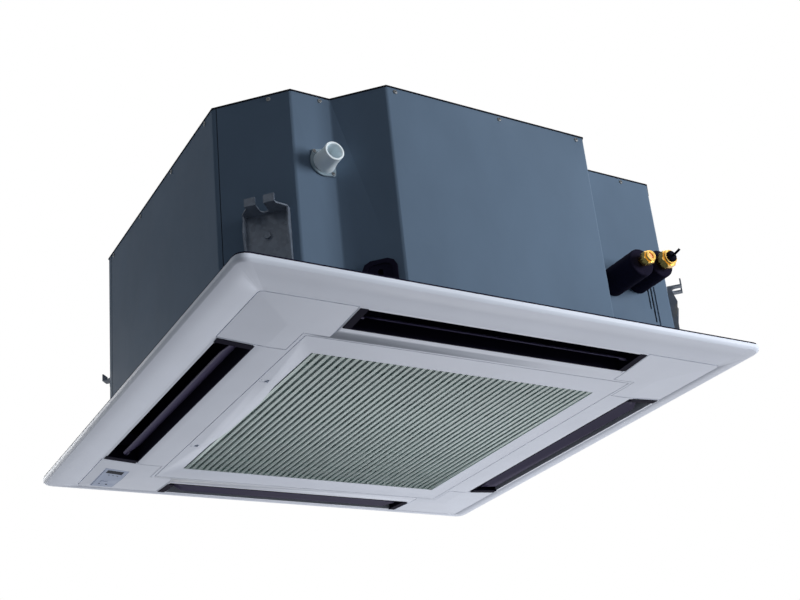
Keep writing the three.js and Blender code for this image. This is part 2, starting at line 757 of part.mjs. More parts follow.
function intakeGrille() {
  const [halfX, halfY] = GRILLE_HALF;
  const outline = rectangle([0, 0], [2 * halfX, 2 * halfY]);
  const plate = prism(outline, 0, GRILLE_SKIN);
  const rim = cut(prism(outline, 0, GRILLE_DEPTH), prism(inset(outline, GRILLE_SKIN), -1, GRILLE_DEPTH + 1));
  const slatted = [
    [-SLATTED_HALF, -SLATTED_HALF],
    [SLATTED_HALF, -SLATTED_HALF],
    [SLATTED_HALF, SLATTED_HALF],
    [-SLATTED_HALF, SLATTED_HALF],
    [-SLATTED_HALF, BULGE_HALF[0]],
    [-SLATTED_HALF + BULGE_DEPTH, BULGE_HALF[1]],
    [-SLATTED_HALF + BULGE_DEPTH, -BULGE_HALF[1]],
    [-SLATTED_HALF, -BULGE_HALF[0]],
  ];
  const face = cut(plate, prism(slatted, -1, GRILLE_SKIN + 1));
  const count = Math.floor(2 * SLATTED_HALF / SLAT_PITCH);
  const slats = [];
  for (let i = 0; i < count; i += 1) {
    const x = (i + 0.5 - count / 2) * SLAT_PITCH;
    const half = SLAT_WIDTH / 2;
    const section = [
      [x - half, SLAT_RECESS],
      [x + half, SLAT_RECESS],
      [x + half - 1 + SLAT_LEAN, SLAT_DEPTH],
      [x + half - 3 + SLAT_LEAN, SLAT_DEPTH],
    ];
    slats.push(bar(section, -SLATTED_HALF - 1, SLATTED_HALF + 1).rotate([0, 0, -90]));
  }
  const surround = cut(
    prism(rectangle([0, 0], [2 * SLATTED_HALF + 5, 2 * SLATTED_HALF + 5]), 1, SURROUND_DEPTH),
    prism(slatted, 0, SURROUND_DEPTH + 1),
  );
  const grille = join(face, rim, surround, ...slats);
  return cut(grille, ...hingeHoles(), ...latchWays());
}

/** Slot for the latch's finger tab and the hole for its tongue. */
function latchWays() {
  const wall = GRILLE_HALF[0];
  const [low, high] = LATCH_HEIGHTS;
  const tab = LATCH_HALF - 1 + GAP;
  const tongue = LATCH_HALF + GAP;
  return [-LATCH_PLACE, LATCH_PLACE].flatMap((y) => [
    box([-wall + 3.6, y - tab, -1], [-wall + 12 + LATCH_TRAVEL, y + tab, GRILLE_SKIN + GAP]),
    box([-wall - 1, y - tongue, low - GAP], [-wall + GRILLE_SKIN + 1, y + tongue, high + GAP]),
  ]);
}

function grilleLatch(y) {
  const wall = -GRILLE_HALF[0];
  const [low, high] = LATCH_HEIGHTS;
  const [tongueHalf, sliderHalf, tabHalf] = [LATCH_HALF, LATCH_HALF + 3, LATCH_HALF - 1];
  const tongue = box([wall - GRILLE_GROOVE - 2, y - tongueHalf, low], [wall + 8, y + tongueHalf, high]);
  const slider = box(
    [wall + GRILLE_SKIN + 1, y - sliderHalf, GRILLE_SKIN + GAP],
    [wall + 18, y + sliderHalf, high + 0.5],
  );
  const tab = box([wall + 4.5, y - tabHalf, 0.3], [wall + 11, y + tabHalf, low + 1.5]);
  return join(tongue, slider, tab);
}

function grilleHingePin(side) {
  const near = side * (GRILLE_HALF[1] - 6 + GAP);
  const far = near + side * PIN_LENGTH;
  return rodAlongY(PIN_PLACE, PIN_RADIUS, Math.min(near, far), Math.max(near, far), SMALL_STEPS);
}

function airFilter() {
  const [halfX, halfY] = FILTER_HALF;
  const bottom = SURROUND_DEPTH + GAP;
  const outline = rectangle([0, 0], [2 * halfX, 2 * halfY]);
  const shell = prism(outline, bottom, bottom + FILTER_DEPTH);
  const [pitchX, pitchY] = [2 * halfX / 3, 2 * halfY / 3];
  const bays = [];
  for (let i = -1; i <= 1; i += 1) {
    for (let j = -1; j <= 1; j += 1) {
      const bay = rectangle([i * pitchX, j * pitchY], [pitchX - FILTER_BAR, pitchY - FILTER_BAR]);
      bays.push(prism(bay, bottom + 1, bottom + FILTER_DEPTH + 1));
    }
  }
  return cut(shell, ...bays);
}

// ---------------------------------------------------------------- casing

/** Plan of the outer casing, counter-clockwise from the front left chamfer. */
const CASING_PLAN = [
  [CASING_LEFT, -272],
  [-322, RECESS_Y],
  [-FRONT_LEFT + CASING_FRONT - RECESS_Y, RECESS_Y],
  [-FRONT_LEFT, CASING_FRONT],
  [FRONT_RIGHT, CASING_FRONT],
  [FRONT_RIGHT + 46, PIPE_WALL_Y],
  [CASING_RIGHT - 28, PIPE_WALL_Y],
  [CASING_RIGHT, PIPE_WALL_Y + 28],
  [CASING_RIGHT, 270],
  [292, CASING_BACK],
  [-245, CASING_BACK],
  [CASING_LEFT, 245],
];

function roundTopped(halfWidth, z0, z1, radius) {
  return [
    [-halfWidth, z0],
    [halfWidth, z0],
    [halfWidth, z1 - radius],
    [halfWidth - radius / 3, z1 - radius / 3],
    [halfWidth - radius, z1],
    [-halfWidth + radius, z1],
    [-halfWidth + radius / 3, z1 - radius / 3],
    [-halfWidth, z1 - radius],
  ];
}

/** Way out for the wiring, square to the 45 degree wall beside the front. */
function wiringWay(grow, from, to, halfWidth = WIRING_HALF, [low, high] = WIRING_HEIGHTS) {
  const half = halfWidth + grow;
  const section = roundTopped(half, low - grow, high + grow, half / 2);
  const [start, end] = [CASING_PLAN[2], CASING_PLAN[3]];
  return bar(section, from, to)
    .translate([0, WIRING_SHIFT, 0])
    .rotate([0, 0, -135])
    .translate([(start[0] + end[0]) / 2, (start[1] + end[1]) / 2, 0]);
}

function pipeHoles(grow, from, to) {
  return [
    rodAlongY(LIQUID_PLACE, LIQUID_RADIUS + grow, from, to),
    rodAlongY(GAS_PLACE, GAS_RADIUS + grow, from, to),
  ];
}

function outerCasing() {
  const walls = cut(
    prism(CASING_PLAN, CASING_BOTTOM, CASING_TOP),
    prism(inset(CASING_PLAN, SHEET), CASING_BOTTOM - 1, CASING_TOP + 1),
  );
  const flangeTop = CASING_BOTTOM + SHEET;
  const flange = cut(
    prism(CASING_PLAN, CASING_BOTTOM, flangeTop),
    prism(inset(CASING_PLAN, FLANGE_WIDTH), CASING_BOTTOM - 1, flangeTop + 1),
  );
  const broad = cut(
    prism(CASING_PLAN, CASING_BOTTOM, flangeTop),
    prism(inset(CASING_PLAN, GUSSET_WIDTH), CASING_BOTTOM - 1, flangeTop + 1),
  );
  const gussets = CORNERS.map(([, signX, signY]) => {
    const from = [signX * GUSSET_FROM, signY * GUSSET_FROM];
    const to = [signX * 450, signY * 450];
    const low = [Math.min(from[0], to[0]), Math.min(from[1], to[1]), CASING_BOTTOM - 1];
    const high = [Math.max(from[0], to[0]), Math.max(from[1], to[1]), flangeTop + 1];
    return broad.intersect(box(low, high));
  });
  const slits = WALL_SLITS.map(([x0, x1, z0, z1]) => (
    box([x0, PIPE_WALL_Y - 1, z0], [x1, PIPE_WALL_Y + 4, z1])
  ));
  return cut(
    join(walls, flange, ...gussets),
    rodAlongY(SOCKET_PLACE, SOCKET_RADIUS + GAP, RECESS_Y - 1, RECESS_Y + 4),
    ...pipeHoles(2, PIPE_WALL_Y - 1, PIPE_WALL_Y + 4),
    ...slits,
    wiringWay(0, -3, 5),
  );
}

function topPlate() {
  const outline = inset(CASING_PLAN, SHEET + GAP);
  const bottom = CASING_TOP - SHEET;
  const plate = prism(outline, bottom, CASING_TOP);
  const lip = cut(
    prism(outline, CASING_TOP - LID_LIP, CASING_TOP),
    prism(inset(outline, SHEET), CASING_TOP - LID_LIP - 1, CASING_TOP + 1),
  );
  const { half, width, depth } = LID_RIB;
  const rib = box([-half, -width / 2, bottom - depth], [half, width / 2, bottom + 0.2]);
  const ribs = [0, 60, 120].map((angle) => rib.rotate([0, 0, angle]));
  return join(plate, lip, ...ribs);
}

function foamLiner() {
  const outside = inset(CASING_PLAN, SHEET + GAP);
  const inside = inset(CASING_PLAN, SHEET + GAP + FOAM_WALL);
  const top = CASING_TOP - LID_LIP - GAP;
  return cut(
    prism(outside, PAN_TOP + GAP, top),
    prism(inside, PAN_TOP, top - FOAM_WALL),
    post([0, 0], MOTOR_RADIUS + 30, top - FOAM_WALL - 1, top + 1, TURNED_STEPS),
    rodAlongY(SOCKET_PLACE, SOCKET_RADIUS + GAP, RECESS_Y - 1, RECESS_Y + 40),
    ...pipeHoles(2, PIPE_WALL_Y - 1, PIPE_WALL_Y + 40),
    wiringWay(0, -WIRING_DEPTH, 0),
  );
}

function wiringGrommet() {
  const collar = wiringWay(3, GAP, 3);
  const sleeve = wiringWay(-GAP, -SHEET, 1);
  const recess = wiringWay(-4, 1, 6);
  const slot = wiringWay(0, -5, 6, CABLE_SLOT.half, CABLE_SLOT.heights);
  return cut(join(collar, sleeve), recess, slot);
}

function wiringCover() {
  const { from, to, heights: [low, high] } = WIRING_COVER;
  const face = PIPE_WALL_Y - GAP;
  return box([CASING_RIGHT - from, face - SHEET, low], [CASING_RIGHT - to, face, high]);
}

// ---------------------------------------------------------------- pan, coil, bell mouth

const roundedSquare = (half, radius) => {
  const shape = [];
  for (let corner = 0; corner < 4; corner += 1) {
    const [signX, signY] = [[1, 1], [-1, 1], [-1, -1], [1, -1]][corner];
    for (let step = 0; step <= 4; step += 1) {
      const angle = (corner + step / 4) * Math.PI / 2;
      const centre = half - radius;
      shape.push([
        signX * centre + radius * Math.cos(angle),
        signY * centre + radius * Math.sin(angle),
      ]);
    }
  }
  return shape;
};

function controlBoxSpace(grow) {
  const low = BOX_LOW.map((value) => value - grow);
  return box(low, BOX_HIGH.map((value) => value + grow));
}

function drainPan() {
  const outline = inset(CASING_PLAN, SHEET + GAP);
  const bottom = CASING_BOTTOM + SHEET + GAP;
  const half = NECK_HALF + GAP;
  const duct = box([-half, OUTLET_INNER, bottom - 1], [half, LINER_NECK + GAP, PAN_TOP + 1]);
  const floor = PAN_TOP - TROUGH_DEPTH;
  const inner = COIL_DEPTH + TROUGH_MARGIN;
  const trough = cut(
    prism(roundedSquare(COIL_HALF + TROUGH_MARGIN, COIL_CORNER + TROUGH_MARGIN), floor, PAN_TOP + 1),
    prism(roundedSquare(COIL_HALF - inner, COIL_CORNER - inner), floor - 1, PAN_TOP + 2),
  );
  return cut(
    prism(outline, bottom, PAN_TOP),
    post([0, 0], PAN_HOLE_RADIUS, bottom - 1, PAN_TOP + 1, 2 * ROUND_STEPS),
    ...SIDES.map(([, turn]) => duct.rotate([0, 0, turn * 180 / Math.PI])),
    trough,
    wiringWay(0, -WIRING_DEPTH, 0),
    post(PUMP_PLACE, PUMP_RADIUS - 4, PAN_TOP - 26, PAN_TOP + 1),
    controlBoxSpace(GAP),
  );
}

function evaporatorCoil() {
  const bottom = PAN_TOP - TROUGH_DEPTH + GAP;
  const slab = cut(
    prism(roundedSquare(COIL_HALF, COIL_CORNER), bottom, COIL_TOP),
    prism(roundedSquare(COIL_HALF - COIL_DEPTH, COIL_CORNER - COIL_DEPTH), bottom - 1, COIL_TOP + 1),
  );
  return cut(slab, box([-COIL_HALF - 1, -COIL_HALF - 1, bottom - 1], [...COIL_GAP, COIL_TOP + 1]));
}

function bellMouth() {
  const bottom = CASING_BOTTOM + SHEET - FLANGE_THICKNESS;
  const curve = (offset) => [0, 1, 2, 3].map((step) => {
    const angle = step / 3 * Math.PI / 2;
    const start = BELL_FLANGE - 14;
    const radius = start - offset - (start - BELL_RADIUS) * Math.sin(angle);
    return [radius, bottom + FLANGE_THICKNESS + BELL_RISE * (1 - Math.cos(angle))];
  });
  return revolve([
    [BELL_FLANGE, bottom],
    [BELL_FLANGE - 15, bottom],
    ...curve(BELL_WALL),
    [BELL_RADIUS - BELL_WALL, FAN_BOTTOM + 6],
    [BELL_RADIUS, FAN_BOTTOM + 6],
    ...curve(0).reverse(),
    [BELL_FLANGE, bottom + FLANGE_THICKNESS],
  ]);
}

// ---------------------------------------------------------------- fan and motor

/** One backward-curved blade: airfoil sections stacked from the shroud to the hub. */
function fanBlade() {
  const sections = [0, 0.5, 1].map((level) => {
    const z = FAN_SHROUD_TOP - 30 + (FAN_HUB_HEIGHT - 1 - FAN_SHROUD_TOP + 30) * level;
    const innerRadius = BLADE_ROOT - 34 * level;
    const outerRadius = FAN_RADIUS - 4;
    const lean = degrees(-BLADE_LEAN * level);
    const along = [0, 0.2, 0.6, 1];
    const middle = along.map((t) => {
      const radius = innerRadius + (outerRadius - innerRadius) * t;
      const angle = lean + degrees(BLADE_SWEEP) * t * (1.25 - 0.25 * t);
      return [radius * Math.cos(angle), radius * Math.sin(angle)];
    });
    const side = (sign) => middle.map(([x, y], i) => {
      const before = middle[Math.max(0, i - 1)];
      const after = middle[Math.min(along.length - 1, i + 1)];
      const direction = new THREE.Vector2(after[0] - before[0], after[1] - before[1]).normalize();
      const thickness = 0.8 + 4.2 * Math.sqrt(along[i]) * (1 - along[i]);
      return [x - sign * direction.y * thickness, y + sign * direction.x * thickness, z];
    });
    return [...side(-1), ...side(1).reverse()];
  });
  return loft(sections);
}

/** Points of the shroud's flare, from the eye to the rim, moved out by an offset. */
function shroudCurve(offset) {
  return [0, 1, 2, 3].map((step) => {
    const t = step / 3;
    const radius = FAN_EYE_RADIUS + (FAN_RADIUS - FAN_EYE_RADIUS) * t ** 2.2;
    const height = FAN_BOTTOM + 8 + (FAN_SHROUD_TOP - FAN_BOTTOM - 8) * t ** 0.75;
    return [radius + offset, height];
  });
}

/** Flared ring welded to the lower edges of the blades. */
function fanShroud() {
  return revolve([
    [FAN_EYE_RADIUS, FAN_BOTTOM],
    ...shroudCurve(0),
    [FAN_RADIUS, FAN_SHROUD_TOP - 1.2 * FAN_WALL],
    ...shroudCurve(FAN_WALL).slice(0, -1).reverse(),
    [FAN_EYE_RADIUS + FAN_WALL, FAN_BOTTOM],
  ]);
}

function fanRotor() {
  const hub = revolve([
    [SHAFT_RADIUS + GAP, DOME_HEIGHT - 14],
    [18, DOME_HEIGHT - 14],
    [18, DOME_HEIGHT],
    [DOME_RADIUS - 8, DOME_HEIGHT],
    [DOME_RADIUS + 16, DOME_HEIGHT + 22],
    [DOME_RADIUS + 46, FAN_HUB_HEIGHT - 12],
    [FAN_RADIUS, FAN_HUB_HEIGHT],
    [FAN_RADIUS, FAN_HUB_HEIGHT + FAN_WALL],
    [DOME_RADIUS + 42, FAN_HUB_HEIGHT - 8],
    [DOME_RADIUS + 12, DOME_HEIGHT + 25],
    [DOME_RADIUS - 11, DOME_HEIGHT + FAN_WALL + 2],
    [SHAFT_RADIUS + GAP, DOME_HEIGHT + FAN_WALL + 2],
  ], HUB_STEPS);
  const outside = revolve([
    [0, FAN_BOTTOM + 20],
    [FAN_EYE_RADIUS, FAN_BOTTOM + 20],
    ...shroudCurve(-1.5 * GAP).slice(1),
    [FAN_RADIUS, FAN_HUB_HEIGHT + 1],
    [0, FAN_HUB_HEIGHT + 1],
  ]);
  const blade = fanBlade().intersect(outside);
  const blades = Array.from({ length: FAN_BLADES }, (_, i) => blade.rotate([0, 0, i * 360 / FAN_BLADES]));
  const domeInside = revolve([
    [0, DOME_HEIGHT + 2],
    [DOME_RADIUS - 9, DOME_HEIGHT + 2],
    [DOME_RADIUS + 14, DOME_HEIGHT + 24],
    [DOME_RADIUS + 44, FAN_HUB_HEIGHT - 10],
    [FAN_RADIUS + 1, FAN_HUB_HEIGHT + 1],
    [FAN_RADIUS + 1, FAN_HUB_HEIGHT + 40],
    [0, FAN_HUB_HEIGHT + 40],
  ], HUB_STEPS);
  return join(hub, ...blades.map((one) => cut(one, domeInside)));
}

function fanNut() {
  const [bottom, top] = [DOME_HEIGHT - 24, DOME_HEIGHT - 14 - GAP];
  const hexagon = post([0, 0], NUT_ACROSS / Math.sqrt(3), bottom, top, 6);
  return cut(hexagon, post([0, 0], SHAFT_RADIUS + GAP, bottom - 1, top + 1));
}

function fanShaft() {
  return join(
    post([0, 0], SHAFT_RADIUS, DOME_HEIGHT - 32, MOTOR_BOTTOM + 30),
    post([0, 0], SHAFT_RADIUS + 3, DOME_HEIGHT + FAN_WALL + 2 + GAP, DOME_HEIGHT + FAN_WALL + 6),
  );
}

function fanMotor() {
  const shell = revolve([
    [0, MOTOR_BOTTOM],
    [34, MOTOR_BOTTOM],
    [38, MOTOR_BOTTOM + 8],
    [MOTOR_RADIUS - 6, MOTOR_BOTTOM + 12],
    [MOTOR_RADIUS, MOTOR_BOTTOM + 20],
    [MOTOR_RADIUS, MOTOR_TOP - 46],
    [MOTOR_RADIUS + 8, MOTOR_TOP - 46],
    [MOTOR_RADIUS + 8, MOTOR_TOP - 42],
    [MOTOR_RADIUS, MOTOR_TOP - 42],
    [MOTOR_RADIUS, MOTOR_TOP - 8],
    [MOTOR_RADIUS - 8, MOTOR_TOP],
    [0, MOTOR_TOP],
  ], HUB_STEPS);
  return cut(shell, post([0, 0], SHAFT_RADIUS + GAP, MOTOR_BOTTOM - 1, MOTOR_BOTTOM + 32));
}

function motorMount() {
  const bottom = MOTOR_TOP + GAP;
  const top = CASING_TOP - SHEET - LID_RIB.depth - GAP;
  const { half, from, reach } = MOUNT_LEG;
  const [inside, outside] = [MOUNT_RADIUS + from, MOUNT_RADIUS + from + MOUNT_SHEET];
  const leg = join(
    box([inside, -half, bottom], [outside, half, top]),
    box([inside, -half, top - MOUNT_SHEET], [MOUNT_RADIUS + reach, half, top]),
    box([inside - 18, -half, bottom], [outside, half, bottom + MOUNT_SHEET]),
  );
  const legs = [1, 3, 5, 7].map((eighth) => leg.rotate([0, 0, 45 * eighth]));
  return join(post([0, 0], MOUNT_RADIUS, bottom, bottom + MOUNT_SHEET), ...legs);
}

// ---------------------------------------------------------------- electrics

function controlBox() {
  const [x0, y0, z0] = BOX_LOW;
  const [x1, y1, z1] = BOX_HIGH;
  const hollow = box([x0 + BOX_WALL, y0 + BOX_WALL, z0 - 1], [x1 - BOX_WALL, y1 - BOX_WALL, z1 - BOX_WALL]);
  const gland = rodAlongX([(y0 + y1) / 2, (z0 + z1) / 2], 6, x1 - BOX_WALL - 1, x1 + 1);
  return cut(box(BOX_LOW, BOX_HIGH), hollow, gland);
}

function controlBoxCover() {
  const [x0, y0, z0] = BOX_LOW;
  return box([x0 + 1, y0 + 1, z0 - BOX_WALL], [BOX_HIGH[0] - 1, BOX_HIGH[1] - 1, z0 - GAP]);
}

// ---------------------------------------------------------------- hanging brackets

/** Bent plate in its own frame: x across, y away from the wall, z up. */
function bracketPlate(halfWidth, slotFrom, reach) {
  const top = BRACKET_HEIGHT;
  const sheet = BRACKET_SHEET;
  const upright = box([-halfWidth, GAP, BRACKET_FOOT], [halfWidth, GAP + sheet, top]);
  const tip = Math.min(halfWidth, BRACKET_SLOT / 2 + TAB_WIDTH);
  const shelf = prism([
    [-halfWidth, GAP],
    [halfWidth, GAP],
    [halfWidth, 0.35 * reach],
    [tip, 0.8 * reach],
    [tip, reach],
    [-tip, reach],
    [-tip, 0.8 * reach],
    [-halfWidth, 0.35 * reach],
  ], top - sheet, top);
  const arc = [0, 1, 2, 3, 4, 5, 6].map((step) => {
    const angle = -step * Math.PI / 6;
    return [BRACKET_SLOT / 2 * Math.cos(angle), slotFrom + BRACKET_SLOT / 2 * Math.sin(angle)];
  });
  const mouth = prism(
    [[BRACKET_SLOT / 2, reach + 1], ...arc, [-BRACKET_SLOT / 2, reach + 1]],
    top - sheet - 1,
    top + 20,
  );
  const tabs = box([-tip, reach - sheet, top - sheet], [tip, reach, top + TAB_HEIGHT]);
  const cheek = (x) => bar([
    [GAP, BRACKET_FOOT + 20],
    [8, BRACKET_FOOT + 20],
    [9, top - 60],
    [14, top - 32],
    [0.28 * reach, top - 9],
    [0.34 * reach, top],
    [GAP, top],
  ], x, x + sheet);
  const holes = [BRACKET_FOOT + 24, top - 40].map((z) => rodAlongY([0, z], 3.5, -1, 6, SMALL_STEPS));
  return cut(
    join(upright, shelf, tabs, cheek(-halfWidth), cheek(halfWidth - sheet)),
    mouth,
    ...holes,
  );
}

/** Each bracket: the rod's place, the wall's outward angle and its distance from the origin. */
function hangingBracket(rod, wallFrom, wallTo, halfWidth, slotShare) {
  const along = new THREE.Vector2(wallTo[0] - wallFrom[0], wallTo[1] - wallFrom[1]).normalize();
  const outward = new THREE.Vector2(along.y, -along.x);
  const toRod = new THREE.Vector2(rod[0] - wallFrom[0], rod[1] - wallFrom[1]);
  const distance = toRod.dot(outward);
  const foot = [rod[0] - outward.x * distance, rod[1] - outward.y * distance];
  const plate = bracketPlate(halfWidth, distance * slotShare, distance + BRACKET_REACH);
  const turn = Math.atan2(outward.y, outward.x) - Math.PI / 2;
  return plate.rotate([0, 0, turn * 180 / Math.PI]).translate([foot[0], foot[1], 0]);
}

const BRACKETS = [
  ['front_left', [ROD_X[0], -ROD_Y], 0, 36, 0.6],
  ['front_right', [ROD_X[1], -ROD_Y], 6, 18, 0.95],
  ['back_right', [ROD_X[1], ROD_Y], 8, 36, 0.6],
  ['back_left', [ROD_X[0], ROD_Y], 10, 36, 0.6],
];

// ---------------------------------------------------------------- condensate

const EAR_RADIUS = 5;
const SOCKET_EARS = [[-15, 16], [14, -16]].map(([x, z]) => [SOCKET_PLACE[0] + x, SOCKET_PLACE[1] + z]);

function drainSocket() {
  const end = RECESS_Y - GAP - SOCKET_LENGTH;
  const face = RECESS_Y - GAP;
  const tail = RECESS_Y + 18;
  const flange = join(
    rodAlongY(SOCKET_PLACE, SOCKET_RADIUS + 3, face - 3, face),
    ...SOCKET_EARS.map(([x, z]) => rodAlongY([x, z], EAR_RADIUS, face - 3, face, SMALL_STEPS)),
  );
  const cone = new THREE.CylinderGeometry(SOCKET_RADIUS + 3, SOCKET_RADIUS, 16, ROUND_STEPS);
  cone.translate(SOCKET_PLACE[0], face - 10, SOCKET_PLACE[1]);
  const body = join(flange, solid(cone), rodAlongY(SOCKET_PLACE, SOCKET_RADIUS, end, tail));
  const holes = SOCKET_EARS.map(([x, z]) => rodAlongY([x, z], 2, face - 4, face + 1, SMALL_STEPS));
  return cut(body, rodAlongY(SOCKET_PLACE, SOCKET_BORE, end - 1, tail + 1), ...holes);
}

function drainPump() {
  const bottom = PAN_TOP + GAP;
  const [x, y] = PUMP_PLACE;
  return join(
    post([x, y], PUMP_RADIUS, bottom, bottom + 34),
    post([x, y], PUMP_RADIUS - 6, bottom + 30, PUMP_TOP - 40),
    post([x, y], PUMP_RADIUS - 14, PUMP_TOP - 44, PUMP_TOP - 20),
    post([x, y], HOSE_RADIUS, PUMP_TOP - 24, PUMP_TOP, SMALL_STEPS),
    post([x, y], 9, bottom - 20, bottom + 2, SMALL_STEPS),
  );
}

function drainHose() {
  const [x, y] = PUMP_PLACE;
  const [socketX, socketZ] = SOCKET_PLACE;
  const route = bentRoute([
    [x, y, PUMP_TOP + GAP],
    [x, y, socketZ],
    [socketX, y - 34, socketZ],
    [socketX, RECESS_Y + 18 + GAP, socketZ],
  ], 14);
  return tube(route, HOSE_RADIUS, 16);
}

function floatStem() {
  const [x, y] = FLOAT_PLACE;
  const wall = RECESS_Y + SHEET + GAP + FOAM_WALL + GAP;
  const bottom = PAN_TOP - TROUGH_DEPTH + GAP;
  return join(
    post([x, y], 4, bottom, 150, SMALL_STEPS),
    post([x, y], 9, bottom, bottom + 2, SMALL_STEPS),
    box([x - 6, wall, 146], [x + 6, y, 150]),
  );
}

function floatRing() {
  const [x, y] = FLOAT_PLACE;
  const bottom = PAN_TOP - TROUGH_DEPTH + GAP + 2 + GAP;
  return revolve([
    [4 + GAP, bottom],
    [12, bottom],
    [14, bottom + 3],
    [14, bottom + 15],
    [12, bottom + 18],
    [4 + GAP, bottom + 18],
  ], ROUND_STEPS).translate([x, y, 0]);
}

// ---------------------------------------------------------------- refrigerant pipes

const outsideCoil = () => prism(roundedSquare(COIL_HALF + GAP, COIL_CORNER + GAP), PAN_TOP, COIL_TOP);

const LIQUID_END = LIQUID_SLEEVE_END - 22;
const GAS_END = GAS_SLEEVE_END - 22;

function liquidPipe() {
  const [x, z] = LIQUID_PLACE;
  const inside = 1 - COIL_HALF + COIL_CORNER / 5;
  return cut(rodAlongY([x, z], LIQUID_RADIUS, LIQUID_END, inside, SMALL_STEPS), outsideCoil());
}

function gasPipe() {
  const [x, z] = GAS_PLACE;
  const bend = COIL_CORNER - COIL_HALF - 50;
  const route = bentRoute([[x, GAS_END, z], [x, bend, z], [x - 26, bend + 26, z]], 2 * GAS_RADIUS);
  return cut(tube(route, GAS_RADIUS, 14, 8), outsideCoil());
}

function sleeve([x, z], bore, end) {
  return cut(
    rodAlongY([x, z], SLEEVE_RADIUS, end, PIPE_WALL_Y - GAP, TURNED_STEPS),
    rodAlongY([x, z], bore + GAP, end - 1, PIPE_WALL_Y + 1),
  );
}

/** Hexagonal flare nut with a round collar, threaded over the pipe's end. */
function flareNut([x, z], across, bore, sleeveEnd) {
  const hexagon = rodAlongY([x, z], across / Math.sqrt(3), sleeveEnd - 20, sleeveEnd - 8, 6);
  const collar = rodAlongY([x, z], across / 2 - 1.5, sleeveEnd - 25, sleeveEnd - 19);
  const neck = rodAlongY([x, z], across / 2 - 2.5, sleeveEnd - 9, sleeveEnd - GAP);
  return cut(
    join(hexagon, collar, neck),
    rodAlongY([x, z], bore + GAP, sleeveEnd - 30, sleeveEnd + 1),
  );
}

function pipeEndPlug() {
  const [x, z] = GAS_PLACE;
  const end = GAS_SLEEVE_END - 25;
  const disc = rodAlongY([x, z], GAS_RADIUS + 2, end - GAP - 2, end - GAP);
  const tail = tube(new THREE.QuadraticBezierCurve3(
    new THREE.Vector3(x, end - 2, z),
    new THREE.Vector3(x, end - 9, z),
    new THREE.Vector3(x + 4, end - 18, z + 6),
  ), 2.2, 6, 5);
  return join(disc, tail);
}

// ---------------------------------------------------------------- assembly

add('panel_frame', panelFrame(), FINISH.panel());
for (const [corner, signX, signY] of CORNERS) {
  add(`corner_cover_${corner}`, cornerCover(signX, signY), FINISH.panel());
}
add('display_receiver', displayReceiver(), FINISH.label());
add('display_window', displayWindow(), FINISH.window());
add('test_button', testButton(), FINISH.label());
add('ceiling_seal', ceilingSeal(), FINISH.rubber());

for (const [side, turn] of SIDES) {
  add(`outlet_liner_${side}`, outletLiner(), FINISH.black(), turn);
  add(`louver_${side}`, louver(), FINISH.louver(), turn);
  add(`louver_motor_${side}`, louverMotor(), FINISH.plastic(), turn);
}

add('intake_grille', intakeGrille(), FINISH.grille());
add('grille_latch_front', grilleLatch(-LATCH_PLACE), FINISH.panel());
add('grille_latch_back', grilleLatch(LATCH_PLACE), FINISH.panel());
add('grille_hinge_pin_front', grilleHingePin(-1), FINISH.zinc());
add('grille_hinge_pin_back', grilleHingePin(1), FINISH.zinc());
add('air_filter', airFilter(), FINISH.mesh());

add('outer_casing', outerCasing(), FINISH.casing());
add('top_plate', topPlate(), FINISH.casing());
add('foam_liner', foamLiner(), FINISH.foam());
add('wiring_grommet', wiringGrommet(), FINISH.rubber());
add('wiring_cover', wiringCover(), FINISH.casing());

add('drain_pan', drainPan(), FINISH.foam());
add('evaporator_coil', evaporatorCoil(), FINISH.aluminium());
add('bell_mouth', bellMouth(), FINISH.black());
add('fan_rotor', fanRotor(), FINISH.fan());
add('fan_shroud', fanShroud(), FINISH.fan());
add('fan_nut', fanNut(), FINISH.zinc());
add('fan_shaft', fanShaft(), FINISH.zinc());
add('fan_motor', fanMotor(), FINISH.zinc());
add('motor_mount', motorMount(), FINISH.zinc());
add('control_box', controlBox(), FINISH.zinc());
add('control_box_cover', controlBoxCover(), FINISH.zinc());

for (const [corner, rod, edge, halfWidth, slotShare] of BRACKETS) {
  const wall = [CASING_PLAN[edge], CASING_PLAN[(edge + 1) % CASING_PLAN.length]];
  add(`hanging_bracket_${corner}`, hangingBracket(rod, ...wall, halfWidth, slotShare), FINISH.zinc());
}

add('drain_socket', drainSocket(), FINISH.clear());
add('drain_pump', drainPump(), FINISH.plastic());
add('drain_hose', drainHose(), FINISH.clear());
add('float_stem', floatStem(), FINISH.plastic());
add('float', floatRing(), FINISH.plastic());

add('liquid_pipe', liquidPipe(), FINISH.copper());
add('gas_pipe', gasPipe(), FINISH.copper());
add('liquid_pipe_sleeve', sleeve(LIQUID_PLACE, LIQUID_RADIUS, LIQUID_SLEEVE_END), FINISH.rubber());
add('gas_pipe_sleeve', sleeve(GAS_PLACE, GAS_RADIUS, GAS_SLEEVE_END), FINISH.rubber());
add('liquid_flare_nut', flareNut(LIQUID_PLACE, 22, LIQUID_RADIUS, LIQUID_SLEEVE_END), FINISH.brass());
add('gas_flare_nut', flareNut(GAS_PLACE, 29, GAS_RADIUS, GAS_SLEEVE_END), FINISH.brass());
add('pipe_end_plug', pipeEndPlug(), FINISH.rubber());

export default unit;
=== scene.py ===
# %% [markdown]
# # A ceiling cassette air conditioner
# The real unit hangs above a false ceiling and blows air through four slots round a square panel.
# The solids come from the CAD frame, which fixes every place and size. This lesson dresses them:
# it adds the small fasteners and pressed details, and gives each surface its finish.

# %% load the frame
import json
import math

import bmesh
import bpy
import numpy as np
from mathutils import Matrix, Vector

